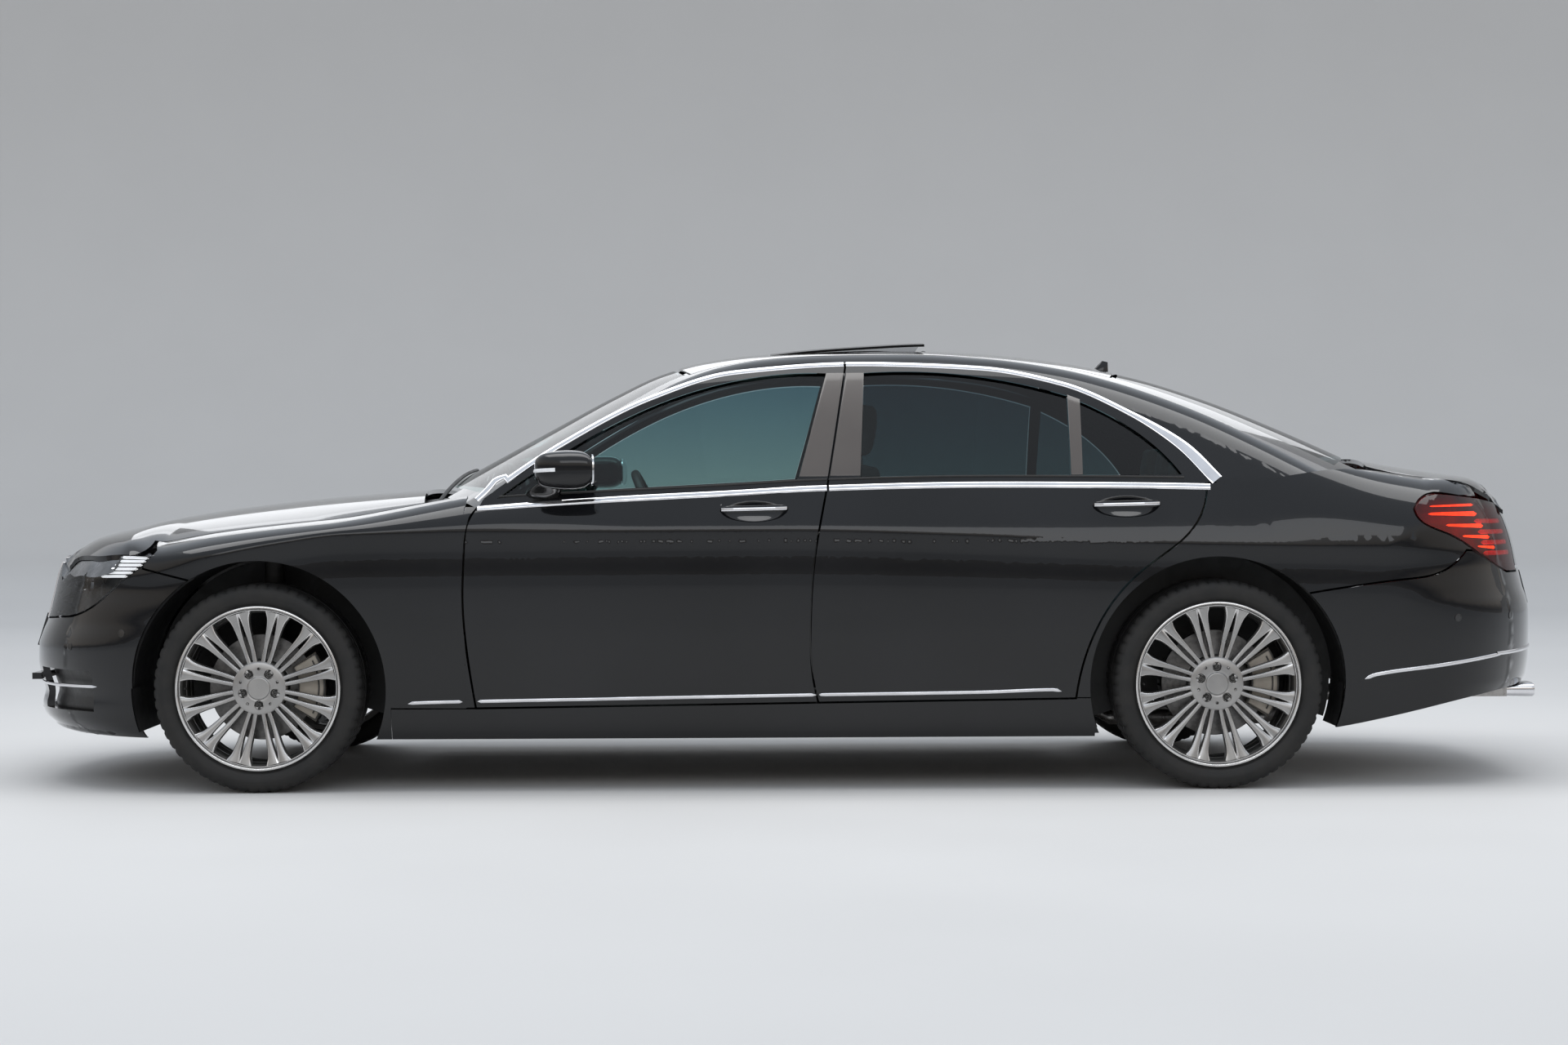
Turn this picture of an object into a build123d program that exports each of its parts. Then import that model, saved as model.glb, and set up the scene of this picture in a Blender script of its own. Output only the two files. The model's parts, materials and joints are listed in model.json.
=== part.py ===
from build123d import *
import math
import os

# Full-size four-door saloon in millimetres.
# +X runs to the rear, +Y to the car's right, +Z up; the origin is on the ground under the middle.

# ---------------------------------------------------------------- driving dimensions
BODY_HALF_WIDTH = 949.5
FRONT_AXLE_X = -1732
REAR_AXLE_X = 1433
WHEEL_CENTRE_Z = 345
FRONT_TRACK_HALF = 798
REAR_TRACK_HALF = 803
TYRE_RADIUS = 345
FRONT_TYRE_WIDTH = 245
REAR_TYRE_WIDTH = 265
RIM_RADIUS = 272
ARCH_RADIUS = 422
NOSE_SWEEP = 700
TAIL_SWEEP = 600
PLAN_POWER = 2.4
CORNER_POWER = 4
SKIN = 9
DOOR_THICKNESS = 82
FRAME_THICKNESS = 36
SHUT_GAP = 7
GLASS_THICKNESS = 5
GLASS_INSET = 10
JACKING_X = (-1050, 800)
JACKING_Y = 730
JACKING_Z = 165
JACKING_PAD = 60

os.makedirs("parts", exist_ok=True)


# ---------------------------------------------------------------- driving curves
def curve(points):
    """A smooth curve through (input, output) points, with no overshoot between them."""
    xs = [point[0] for point in points]
    ys = [point[1] for point in points]
    steps = [(ys[i + 1] - ys[i]) / (xs[i + 1] - xs[i]) for i in range(len(xs) - 1)]
    slopes = [steps[0]]
    for before, after in zip(steps, steps[1:]):
        slopes.append(0 if before * after <= 0 else 2 * before * after / (before + after))
    slopes.append(steps[-1])

    def value(x):
        if x <= xs[0]:
            return ys[0] + slopes[0] * (x - xs[0])
        if x >= xs[-1]:
            return ys[-1] + slopes[-1] * (x - xs[-1])
        i = max(k for k in range(len(xs) - 1) if xs[k] <= x)
        span = xs[i + 1] - xs[i]
        u = (x - xs[i]) / span
        ends = ys[i] * (1 + 2 * u) * (1 - u) ** 2 + ys[i + 1] * u * u * (3 - 2 * u)
        return ends + span * u * (1 - u) * (slopes[i] * (1 - u) - slopes[i + 1] * u)

    return value


def fade(x, start, end):
    """0 before start, 1 after end, smooth between."""
    u = min(max((x - start) / (end - start), 0), 1)
    return u * u * (3 - 2 * u)


def spread(start, end, count):
    return [start + (end - start) * i / (count - 1) for i in range(count)]


# side profile on the centreline
hood_z = curve([(-2545, 720), (-2523, 758), (-2470, 800), (-2396, 840), (-2287, 866), (-2082, 912),
                (-1787, 952), (-1493, 980), (-1214, 999), (-1000, 1010)])
roof_z = curve([(-1400, 896), (-1214, 997), (-1000, 1113), (-800, 1221), (-600, 1327), (-430, 1405),
                (-280, 1446), (-100, 1470), (150, 1483), (400, 1485), (700, 1471), (1000, 1437),
                (1250, 1386), (1500, 1308), (1750, 1208), (2000, 1097), (2200, 1005)])
nose_x = curve([(150, -2400), (178, -2510), (204, -2572), (240, -2606), (271, -2613), (314, -2603),
                (356, -2614), (412, -2623), (468, -2620), (511, -2606), (560, -2585), (646, -2562),
                (737, -2538), (800, -2505), (860, -2470)])
tail_x = curve([(170, 2560), (287, 2582), (346, 2614), (417, 2622), (500, 2623), (557, 2622),
                (599, 2616), (647, 2600), (718, 2583), (819, 2560), (897, 2531), (984, 2473),
                (1020, 2440)])
# half-width of the flank against height, as a share of the widest
flank_section = curve([(165, 0.915), (200, 0.932), (290, 0.953), (400, 0.971), (550, 0.989),
                       (700, 0.996), (780, 0.9945), (855, 1.0)])
CORNER_X = -2150  # beyond this the fender tops turn round the corners of the nose
CREASE_TOP = 855
CREASE_FOOT = 400
crease_z = curve([(-2600, 700), (-2105, 725), (-1900, 775), (-1650, 825), (-1441, 852), (-1000, 858),
                  (0, 860), (600, 842), (1130, 815), (1700, 800), (2300, 780), (2600, 770)])
hood_edge_y = curve([(-2450, 560), (-2250, 650), (-2100, 700), (-1900, 735), (-1600, 762),
                     (-1300, 775), (-1100, 780), (-900, 785)])
boot_edge_y = curve([(1500, 770), (1760, 745), (2000, 722), (2300, 690), (2500, 660)])
boot_z = curve([(1760, 1119), (1971, 1097), (2145, 1067), (2289, 1044), (2405, 1028), (2440, 1014),
                (2473, 984)])


def end_sweep(y, depth, half_width=BODY_HALF_WIDTH):
    """How far the plan curve of an end has fallen back at this distance from the centreline."""
    share = min(abs(y) / half_width, 0.9995)
    return depth * (1 - (1 - share ** PLAN_POWER) ** (1 / PLAN_POWER))


def hood_point(x, y):
    """The hood and fender tops; x is where the plan curve through this point meets the centreline."""
    across = x + end_sweep(y, NOSE_SWEEP)
    drop = 10 + 42 * fade(-x, 1150, 1750) - 40 * fade(-across, 2060, 2200)
    return (across, y, hood_z(x) - drop * (y / 720) ** 2)


def hood_height(x, y):
    return hood_point(x - end_sweep(y, NOSE_SWEEP), y)[2]


def boot_height(x, y):
    return boot_z(x + end_sweep(y, TAIL_SWEEP)) - 20 * (y / 720) ** 2


def side_plan(x):
    return BODY_HALF_WIDTH - 8 * ((x - 300) / 1500) ** 2


def shoulder(x, z, width, top_y, top_z, power, root):
    """Half-width above the crease, rolling in to the top line, as a share of the width there."""
    crease = crease_z(x)
    v = max((z - crease) / (top_z - crease), 0)
    if root > 1:
        v = min(v, 1)
    return 1 - (width - top_y) * (1 - (1 - v ** power) ** (1 / root)) / width


def shoulder_share(x, z):
    """The roll of the shoulder: door, front fender and rear quarter each have their own."""
    if z <= crease_z(x):
        return 1
    width = side_plan(x)
    door = shoulder(x, z, width, width - 64, 1015, 1.25, 1)
    front = fade(-x, 450, 1150)
    rear = fade(x, 1500, 2050)
    if front > 0:
        station = max(x, CORNER_X)
        top_y = hood_edge_y(station)
        fender = shoulder(station, z, width, top_y, hood_height(station, top_y), 2, 1.9)
        return door + (fender - door) * front
    if rear > 0:
        station = min(x, -CORNER_X)
        top_y = boot_edge_y(station)
        quarter = shoulder(station, z, width, top_y, boot_height(station, top_y), 2, 1.9)
        return door + (quarter - door) * rear
    return door


def end_share(u):
    u = min(max(u, 0), 1)
    return (1 - (1 - u) ** PLAN_POWER) ** (1 / PLAN_POWER)


def half_width(x, z):
    """Half-width of the lower body: flank section, shoulder and the rounding of both ends."""
    crease = crease_z(x)
    level = min(z, crease)
    if level > CREASE_FOOT:
        level = CREASE_FOOT + (level - CREASE_FOOT) * (CREASE_TOP - CREASE_FOOT) / (crease - CREASE_FOOT)
    shares = [shoulder_share(x, z), end_share((x - nose_x(z)) / NOSE_SWEEP),
              end_share((tail_x(z) - x) / TAIL_SWEEP)]
    lost = sum((1 - share) ** CORNER_POWER for share in shares) ** (1 / CORNER_POWER)
    return side_plan(x) * flank_section(level) * (1 - lost)


def nose_point(turn, z):
    """On the nose at a height; turn runs 0 at the centreline to 1 where the flank starts."""
    x = nose_x(z) + NOSE_SWEEP * (1 - math.cos(turn * math.pi / 2) ** (2 / PLAN_POWER))
    return (x, half_width(x, z), z)


def tail_point(turn, z):
    """On the tail at a height; past a turn of 1 it runs on forwards along the flank."""
    x = tail_x(z) - TAIL_SWEEP * turn
    if turn <= 1:
        x = tail_x(z) - TAIL_SWEEP * (1 - math.cos(turn * math.pi / 2) ** (2 / PLAN_POWER))
    return (x, half_width(x, z), z)


def cabin_half_width(x, z):
    """The side of the cabin above the belt: it leans in, and narrows towards both ends."""
    height = z - 1015
    lean = 0.40 * height + 0.00040 * height * height
    barrel = 0.00009 * max(height, 0) * ((x - 350) / 900) ** 2 * 1000 / 1.35
    return side_plan(x) - 64 - lean - min(barrel, 70)


def roof_height(x, y):
    """The top of the cabin: windscreen, roof and rear screen in one sweep."""
    share = (y / 700) ** 2
    sweep = 125 * (1 - fade(x, -350, 250)) - 140 * fade(x, 500, 1250)
    return roof_z(x - sweep * share) - 50 * share


def rail_y(x):
    """Where the cabin side meets the roof at this station."""
    low, high = 200, 940
    for _ in range(40):
        y = (low + high) / 2
        z = roof_height(x, y)
        if cabin_half_width(x, z) > y:
            low = y
        else:
            high = y
    return low


RAIL_ROUND = 78


def cabin_section(x, foot_z):
    """Half of the cabin's cross-section, from the foot up the side and over to the centreline."""
    corner_y = rail_y(x)
    corner_z = roof_height(x, corner_y)
    side_end_z = corner_z - RAIL_ROUND * 0.9
    points = []
    for z in spread(foot_z, side_end_z, 7):
        points.append((cabin_half_width(x, z), z))
    start = points[-1]
    end_y = corner_y - RAIL_ROUND
    end = (end_y, roof_height(x, end_y))
    for t in (0.25, 0.5, 0.75):
        y = (1 - t) ** 2 * start[0] + 2 * t * (1 - t) * corner_y + t * t * end[0]
        z = (1 - t) ** 2 * start[1] + 2 * t * (1 - t) * corner_z + t * t * end[1]
        points.append((y, z))
    for share in (1, 0.8, 0.6, 0.4, 0.2, 0):
        points.append((end_y * share, roof_height(x, end_y * share)))
    return points


def full_section(x, foot_z):
    half = cabin_section(x, foot_z)
    left = [(-y, z) for y, z in half]
    right = [(y, z) for y, z in reversed(half[:-1])]
    return left + right


# ---------------------------------------------------------------- surface helpers
def inset(points, depth):
    """The same run of points moved sideways by depth, to the left of the way it runs."""
    moved = []
    for i, (a, b) in enumerate(points):
        before = points[max(i - 1, 0)]
        after = points[min(i + 1, len(points) - 1)]
        run_a = after[0] - before[0]
        run_b = after[1] - before[1]
        size = math.hypot(run_a, run_b)
        moved.append((a - run_b / size * depth, b + run_a / size * depth))
    return moved


def even_spline(points):
    """A spline that passes its points at even steps, so that lofted sections match."""
    steps = [i / (len(points) - 1) for i in range(len(points))]
    return Edge.make_spline([Vector(*point) for point in points], parameters=steps)


def panel(planes, sections, depth):
    """A panel of even depth lofted through sections, each a run of points on its plane."""
    with BuildPart() as piece:
        for plane, outer in zip(planes, sections):
            there = even_spline(outer)
            back = even_spline(inset(outer, depth)[::-1])
            ends = [Edge.make_line(there @ 1, back @ 0), Edge.make_line(back @ 1, there @ 0)]
            with BuildSketch(plane):
                add(Face(Wire([there, ends[0], back, ends[1]])))
        loft()
    return piece.part


def space_over(planes, sections, top):
    """Everything between the sections and a level above them."""
    with BuildPart() as space:
        for plane, low in zip(planes, sections):
            edge = even_spline(low)
            first = Vector(low[0][0], top)
            last = Vector(low[-1][0], top)
            down = Edge.make_line(edge @ 1, last)
            across = Edge.make_line(last, first)
            up = Edge.make_line(first, edge @ 0)
            with BuildSketch(plane):
                add(Face(Wire([edge, down, across, up])))
        loft()
    return space.part


def stations_across(xs):
    return [Plane.YZ.offset(x) for x in xs]


def flank_panel(xs, z_from, z_to, depth, sunk=0, rows=19):
    """Left body side between two heights; sunk moves it inwards."""
    sections = [inset([(-half_width(x, z), z) for z in spread(z_from, z_to, rows)], -sunk) for x in xs]
    return panel(stations_across(xs), sections, -depth)


def fender_top(x):
    return hood_height(x, hood_edge_y(x))


def quarter_top(x):
    return 1014 + (boot_height(x, boot_edge_y(x)) - 1014) * fade(x, 1500, 2050)


def rolled_panel(xs, z_from, top_of, depth, rows=19):
    """Left body side whose top rolls over to the edge of the hood or boot lid."""
    sections = []
    for x in xs:
        top = top_of(x) - 0.3
        levels = [z_from + (top - z_from) * math.sin(i / (rows - 1) * math.pi / 2) for i in range(rows)]
        sections.append([(-half_width(x, z), z) for z in levels])
    return panel(stations_across(xs), sections, -depth)


def end_panel(point, zs, depth, turn_to=1, columns=33):
    """Nose or tail wall between two heights, round from one flank to the other."""
    sections = []
    for z in zs:
        row = []
        for turn in spread(-turn_to, turn_to, columns):
            x, y, _ = point(abs(turn), z)
            row.append((x, math.copysign(y, turn)))
        sections.append(row)
    return panel([Plane.XY.offset(z) for z in zs], sections, depth)


def cabin_panel(xs, foot_z, depth):
    """The whole cabin from one foot over the roof to the other."""
    return panel(stations_across(xs), [full_section(x, foot_z) for x in xs], -depth)


def rail_panel(xs, foot_z, depth, sunk=0):
    """The left cabin side and the roof edge above it; sunk moves it inwards."""
    sections = [[(-y, z) for y, z in cabin_section(x, foot_z)[:-3]] for x in xs]
    return panel(stations_across(xs), [inset(section, -sunk) for section in sections], -depth)


def cabin_side(xs, z_from, z_to, depth, sunk=0, rows=9):
    """Left side of the cabin, as for a window pane or a frame; sunk moves it inwards."""
    sections = [[(-cabin_half_width(x, z) + sunk, z) for z in spread(z_from, z_to, rows)] for x in xs]
    return panel(stations_across(xs), sections, -depth)


def save(solid, label):
    solid.label = label
    export_step(solid, f"parts/{label}.step")


# ---------------------------------------------------------------- cutting outlines, seen from the side
DOOR_FRONT = [(-1000, 945), (-1028, 903), (-1047, 783), (-1052, 640), (-1044, 500), (-1014, 276)]
PILLAR_SHUT = [(215, 1412), (197, 1292), (151, 1018), (107, 777), (91, 560), (93, 420), (115, 290)]
DOOR_REAR = [(1400, 1006), (1397, 964), (1362, 878), (1185, 726), (1078, 612), (1005, 470), (965, 300)]
WINDOW_TOP = [(-1000, 952), (-735, 1135), (-433, 1295), (-159, 1379), (252, 1406), (663, 1390),
              (938, 1336), (1140, 1245), (1310, 1128), (1420, 1006)]
TRIM_WIDTH = 20
DOOR_TOP = inset(WINDOW_TOP, 9)
GLASS_TOP = inset(WINDOW_TOP, -TRIM_WIDTH)
HEADLIGHT_LOWER = [(-2434, 575), (-2355, 588), (-2260, 640), (-2178, 708), (-2110, 756), (-2074, 800)]
BUMPER_SHUT_FRONT = [(-2112, 742), (-1900, 690)]
BUMPER_SHUT_REAR = [(1690, 636), (1863, 665), (2051, 689), (2159, 707), (2213, 734), (2265, 782)]
UNDER_LAMP = [(2290, 780), (2360, 743), (2436, 715), (2700, 715)]
BUMPER_FOOT_REAR = [(1600, 180), (1855, 199), (2155, 263), (2449, 311), (2700, 318)]
TAIL_LIGHT = [(2082, 922), (2123, 962), (2164, 972), (2292, 953), (2328, 948), (2410, 803),
              (2440, 705), (2355, 746), (2191, 839), (2087, 900)]
HEADLIGHT_INNER_Y = 432
TAIL_LIGHT_INNER_Y = 560
GRILLE_HALF_WIDTH = 405
GRILLE_FOOT = 558


def grown(edges, amount):
    """The edges of a closed outline moved outwards, square to their run, corners kept."""
    if not amount:
        return edges
    loop = [point for edge in edges for point in edge[:-1]]
    area = sum(a[0] * b[1] - b[0] * a[1] for a, b in zip(loop, loop[1:] + loop[:1]))
    turn = 1 if area > 0 else -1
    moved = []
    for i, (a, b) in enumerate(loop):
        before = Vector(a - loop[i - 1][0], b - loop[i - 1][1]).normalized()
        ahead = loop[(i + 1) % len(loop)]
        after = Vector(ahead[0] - a, ahead[1] - b).normalized()
        out = Vector(before.Y + after.Y, -before.X - after.X) * (turn * amount / (1 + before.dot(after)))
        moved.append((a + out.X, b + out.Y))
    regrown = []
    start = 0
    for edge in edges:
        stop = start + len(edge) - 1
        regrown.append([moved[i % len(moved)] for i in range(start, stop + 1)])
        start = stop
    return regrown


def prism(plane, edges, grow, depth):
    with BuildPart() as solid:
        with BuildSketch(plane):
            with BuildLine():
                for edge in grown(edges, grow):
                    if len(edge) > 2:
                        Spline(*edge)
                    else:
                        Line(*edge)
            make_face()
        extrude(amount=depth)
    return solid.part


def side_prism(edges, grow=0, y_from=0, y_to=-1300):
    """A prism across the left half, through an outline on the side view, grown by so much."""
    return prism(Plane.XZ.offset(-y_from), edges, grow, y_from - y_to)


def straight(*points):
    """The straight edges through these points."""
    return [list(pair) for pair in zip(points, points[1:])]


def plan_prism(edges, grow=0, z_from=100, z_to=1600):
    """An upright prism through an outline seen from above."""
    return prism(Plane.XY.offset(z_from), edges, grow, z_to - z_from)


def block(x_from, x_to, y_from, y_to, z_from, z_to):
    with BuildPart() as box:
        with BuildSketch(Plane.XY.offset(z_from)):
            with Locations(((x_from + x_to) / 2, (y_from + y_to) / 2)):
                Rectangle(x_to - x_from, abs(y_to - y_from))
        extrude(amount=z_to - z_from)
    return box.part


def rod(start, end, radius):
    """A round bar between two points."""
    run = Vector(*end) - Vector(*start)
    with BuildPart() as bar:
        with BuildSketch(Plane(origin=start, z_dir=run)):
            Circle(radius)
        extrude(amount=run.length)
    return bar.part


def wheel_space(axle_x, radius, y_from=-1300, y_to=0):
    return rod((axle_x, y_from, WHEEL_CENTRE_Z), (axle_x, y_to, WHEEL_CENTRE_Z), radius)


def kept(solid, *prisms):
    """What lies inside every prism."""
    with BuildPart() as piece:
        add(solid)
        for prism in prisms:
            add(prism, mode=Mode.INTERSECT)
    return piece.part


def without(solid, *prisms):
    with BuildPart() as piece:
        add(solid)
        for prism in prisms:
            add(prism, mode=Mode.SUBTRACT)
    return piece.part


def joined(*solids):
    with BuildPart() as piece:
        for solid in solids:
            add(solid)
    return piece.part


def mirrored(solid):
    with BuildPart() as piece:
        mirror(solid, about=Plane.XZ)
    return piece.part


def both_sides(solid):
    return joined(solid, mirrored(solid))


# ---------------------------------------------------------------- outlines
def front_door_prism(grow):
    top = [point for point in DOOR_TOP if -990 < point[0] < 200]
    edges = [DOOR_FRONT[::-1], [DOOR_FRONT[0], (-990, 966)], [(-990, 966), *top, PILLAR_SHUT[0]],
             PILLAR_SHUT, [PILLAR_SHUT[-1], DOOR_FRONT[-1]]]
    return side_prism(edges, grow)


def rear_door_prism(grow):
    top = [point for point in DOOR_TOP if 230 < point[0] < 1400]
    edges = [PILLAR_SHUT[::-1], [PILLAR_SHUT[0], *top, (1428, 1012)], [(1428, 1012), DOOR_REAR[0]],
             DOOR_REAR, [DOOR_REAR[-1], PILLAR_SHUT[-1]]]
    return side_prism(edges, grow)


def front_window_prism(grow=0):
    top = [point for point in GLASS_TOP if -930 < point[0] < 140]
    edges = [[(-940, 968), *top, (153, 1383)], [(153, 1383), (52, 1028)],
             [(52, 1028), (-292, 1010), (-642, 992), (-940, 968)]]
    return side_prism(edges, grow)


def rear_window_prism(grow=0):
    top = [point for point in GLASS_TOP if 280 < point[0] < 900]
    edges = [[(277, 1384), *top, (957, 1303)], [(957, 1303), (954, 1036)],
             [(954, 1036), (652, 1036), (258, 1034)], [(258, 1034), (277, 1384)]]
    return side_prism(edges, grow)


def quarter_window_prism(grow=0):
    edges = [[(998, 1284), (1130, 1214), (1240, 1130), (1322, 1036)], [(1322, 1036), (990, 1036)],
             [(990, 1036), (998, 1284)]]
    return side_prism(edges, grow)


HOOD_REAR_X = -1232
HOOD_REAR_SWEEP = 42
NOSE_TOP = 800


def hood_prism(grow):
    side = [(x, -hood_edge_y(x)) for x in spread(-2108, -1190, 5)]
    rear = [(HOOD_REAR_X + HOOD_REAR_SWEEP * (y / 780) ** 2, y) for y in spread(-775, 775, 7)]
    side[-1] = rear[0]
    front = [(-2524 + end_sweep(y, NOSE_SWEEP), y) for y in spread(-560, 560, 9)]
    above_lamp = [(x, 4 - half_width(x, NOSE_TOP)) for x in (-2375, -2310, -2240, -2170)]
    corner = [front[0], *above_lamp, side[0]]
    edges = [side, rear, [(x, -y) for x, y in side[::-1]], [(x, -y) for x, y in corner[::-1]],
             front[::-1], corner]
    return plan_prism(edges, grow, 650, 1100)


def windscreen_prism(grow):
    foot = [(-1182 + 190 * (y / 745) ** 2, y) for y in spread(-706, 706, 7)]
    head = [(-385 + 60 * (y / 560) ** 2, y) for y in spread(-535, 535, 7)]
    edges = [foot, [foot[-1], head[-1]], head[::-1], [head[0], foot[0]]]
    return plan_prism(edges, grow, 850, 1600)


def rear_screen_prism(grow):
    foot = [(1985 - 120 * (y / 640) ** 2, y) for y in spread(-620, 620, 7)]
    head = [(1190 - 50 * (y / 520) ** 2, y) for y in spread(-520, 520, 7)]
    edges = [foot, [foot[-1], head[-1]], head[::-1], [head[0], foot[0]]]
    return plan_prism(edges, grow, 850, 1600)


def roof_prism(grow):
    front = [(-372 + 60 * (y / 560) ** 2, y) for y in spread(-560, 560, 7)]
    rear = [(1177 - 50 * (y / 520) ** 2, y) for y in spread(-530, 530, 7)]
    side = [rear[-1], (900, 560), (400, 585), (0, 583), front[-1]]
    edges = [front, side[::-1], rear[::-1], [(x, -y) for x, y in side]]
    return plan_prism(edges, grow, 1250, 1600)


def boot_prism(grow):
    front = [(2012 - 40 * (y / 640) ** 2, y) for y in spread(-640, 640, 7)]
    side = [front[-1], (2070, 700), (2160, 698), (2290, 672), (2345, 640)]
    tail = [side[-1], (2420, TAIL_LIGHT_INNER_Y - 6), (2700, TAIL_LIGHT_INNER_Y - 6)]
    edges = [front, side, *straight(*tail), [tail[-1], (tail[-1][0], -tail[-1][1])],
             *straight(*[(x, -y) for x, y in tail[::-1]]), [(x, -y) for x, y in side[::-1]]]
    return plan_prism(edges, grow, 600, 1200)


def headlight_prism(grow):
    upper = [(-2560, 705), (-2480, 760), (-2365, 800), (-2210, 830), (-2100, 826), (-2074, 800)]
    edges = [HEADLIGHT_LOWER, upper[::-1], *straight((-2560, 705), (-2560, 560), HEADLIGHT_LOWER[0])]
    return side_prism(edges, grow, -HEADLIGHT_INNER_Y + grow)


def tail_light_prism(grow):
    outer = TAIL_LIGHT[:3] + [(2330, 955), (2480, 930), (2650, 880), (2650, 700), (2440, 705)]
    edges = [TAIL_LIGHT[:3]] + straight(*outer[2:]) + [TAIL_LIGHT[6:] + [TAIL_LIGHT[0]]]
    return side_prism(edges, grow, -TAIL_LIGHT_INNER_Y + grow)


def front_bumper_prism(grow):
    rear = BUMPER_SHUT_FRONT[-1]
    edges = straight((-2700, 100), (rear[0], 100), rear, BUMPER_SHUT_FRONT[0], (-2100, 850),
                     (-2700, 850), (-2700, 100))
    return side_prism(edges, grow)


def rear_bumper_prism(grow):
    foot = BUMPER_FOOT_REAR
    edges = [BUMPER_SHUT_REAR, *straight(BUMPER_SHUT_REAR[-1], *UNDER_LAMP, foot[-1]),
             foot[::-1], [foot[0], BUMPER_SHUT_REAR[0]]]
    return side_prism(edges, grow)


HALF_GAP = SHUT_GAP / 2
PANE_GAP = 1.5

# ---------------------------------------------------------------- body panels
front_arch = wheel_space(FRONT_AXLE_X, ARCH_RADIUS)
rear_arch = wheel_space(REAR_AXLE_X, ARCH_RADIUS)

# front fenders: from the door shut to the headlight, open over the wheel
fender_sheet = rolled_panel(spread(-2150, -1046, 12), 172, fender_top, SKIN)
fender_rear = side_prism(straight((-2200, 100), (-1295, 100), (-1295, 278), DOOR_FRONT[-1])
                         + [DOOR_FRONT[::-1]]
                         + straight(DOOR_FRONT[0], (-985, 965), (-985, 1100), (-2200, 1100), (-2200, 100)))
left_fender = without(kept(fender_sheet, fender_rear), front_arch, front_bumper_prism(HALF_GAP),
                      headlight_prism(HALF_GAP), hood_prism(HALF_GAP), front_door_prism(HALF_GAP))
save(left_fender, "left_front_fender")
save(mirrored(left_fender), "right_front_fender")

# hood: a sheet from the grille to the wipers
HOOD_THICKNESS = 14
hood_xs = [*spread(-2535, -2050, 8), *spread(-1930, -1130, 8)]
hood_sections = [[(y, hood_height(x, y)) for y in spread(-830, 830, 27)] for x in hood_xs]
hood_sheet = panel(stations_across(hood_xs), hood_sections, -HOOD_THICKNESS)
hood = kept(hood_sheet, hood_prism(-HALF_GAP))
save(hood, "hood")

# nose: bumper, grille and headlights share one surface, and all stop under the hood
HOOD_CLEARANCE = 5
NOSE_STATIONS = 10
under_hood = [[(y, z - HOOD_THICKNESS - HOOD_CLEARANCE) for y, z in section]
              for section in hood_sections[:NOSE_STATIONS]]
hood_space = space_over(stations_across(hood_xs[:NOSE_STATIONS]), under_hood, 1100)
nose_sheet = end_panel(nose_point, spread(176, NOSE_TOP, 17), -22, columns=15)
grille_space = block(-2700, -2300, -GRILLE_HALF_WIDTH, GRILLE_HALF_WIDTH, GRILLE_FOOT, 752)
grille_clearance = block(-2700, -2300, -GRILLE_HALF_WIDTH - HALF_GAP, GRILLE_HALF_WIDTH + HALF_GAP,
                         GRILLE_FOOT - HALF_GAP, 900)
bumper_region = prism(Plane.XZ.offset(-1300), straight(
    (-2700, 100), (BUMPER_SHUT_FRONT[1][0], 100), BUMPER_SHUT_FRONT[1], BUMPER_SHUT_FRONT[0], (-2100, 850),
    (-2700, 850), (-2700, 100)), -HALF_GAP, 2600)
centre_intake = block(-2700, -2400, -430, 430, 252, 470)
side_intake = block(-2650, -2300, -800, -520, 262, 400)
intake_bar = block(-2592, -2560, -440, 440, 350, 372)
left_light = headlight_prism(HALF_GAP)
bumper_shell = without(kept(nose_sheet, bumper_region), front_arch, mirrored(front_arch), left_light,
                       mirrored(left_light), grille_clearance, centre_intake, side_intake,
                       mirrored(side_intake), hood_space)
save(joined(bumper_shell, intake_bar), "front_bumper")

grille_sheet = kept(end_panel(nose_point, spread(500, NOSE_TOP, 9), -40, turn_to=0.4, columns=9),
                    grille_space)
SLAT_PITCH = 46
SLOT_FOOT = 578
SLOT_HEIGHT = 32
SLOT_MIDDLE_Y = 205
SLOT_HALF = 177
slot_feet = [SLOT_FOOT, SLOT_FOOT + SLAT_PITCH, SLOT_FOOT + 2 * SLAT_PITCH, SLOT_FOOT + 3 * SLAT_PITCH - 4]
slots = [block(-2700, -2300, side * SLOT_MIDDLE_Y - SLOT_HALF, side * SLOT_MIDDLE_Y + SLOT_HALF,
               z, z + SLOT_HEIGHT)
         for side in (-1, 1) for z in slot_feet]
save(without(grille_sheet, hood_space, *slots), "grille")

light_sheet = end_panel(nose_point, spread(520, NOSE_TOP, 13), -90, columns=15)
under_corner = block(-2300, -2050, -900, -790, 782, 850)
left_headlight = without(kept(light_sheet, headlight_prism(-HALF_GAP)), hood_space, under_corner)
save(both_sides(left_headlight), "headlights")

# tail: bumper, boot lid and lamps share one surface
tail_sheet = end_panel(tail_point, spread(180, 800, 17), 22, turn_to=1.52, columns=23)
rear_region = prism(Plane.XZ.offset(-1300), [
    BUMPER_SHUT_REAR, *straight(BUMPER_SHUT_REAR[-1], *UNDER_LAMP, BUMPER_FOOT_REAR[-1]),
    BUMPER_FOOT_REAR[::-1], [BUMPER_FOOT_REAR[0], BUMPER_SHUT_REAR[0]]], -HALF_GAP, 2600)
left_lamp = tail_light_prism(HALF_GAP)
rear_bumper = without(kept(tail_sheet, rear_region), rear_arch, mirrored(rear_arch), left_lamp,
                      mirrored(left_lamp))
save(rear_bumper, "rear_bumper")

lamp_sheet = end_panel(tail_point, spread(680, 985, 13), 55, columns=15)
left_tail_light = without(kept(lamp_sheet, tail_light_prism(-HALF_GAP)), boot_prism(HALF_GAP))
save(both_sides(left_tail_light), "tail_lights")

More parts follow.
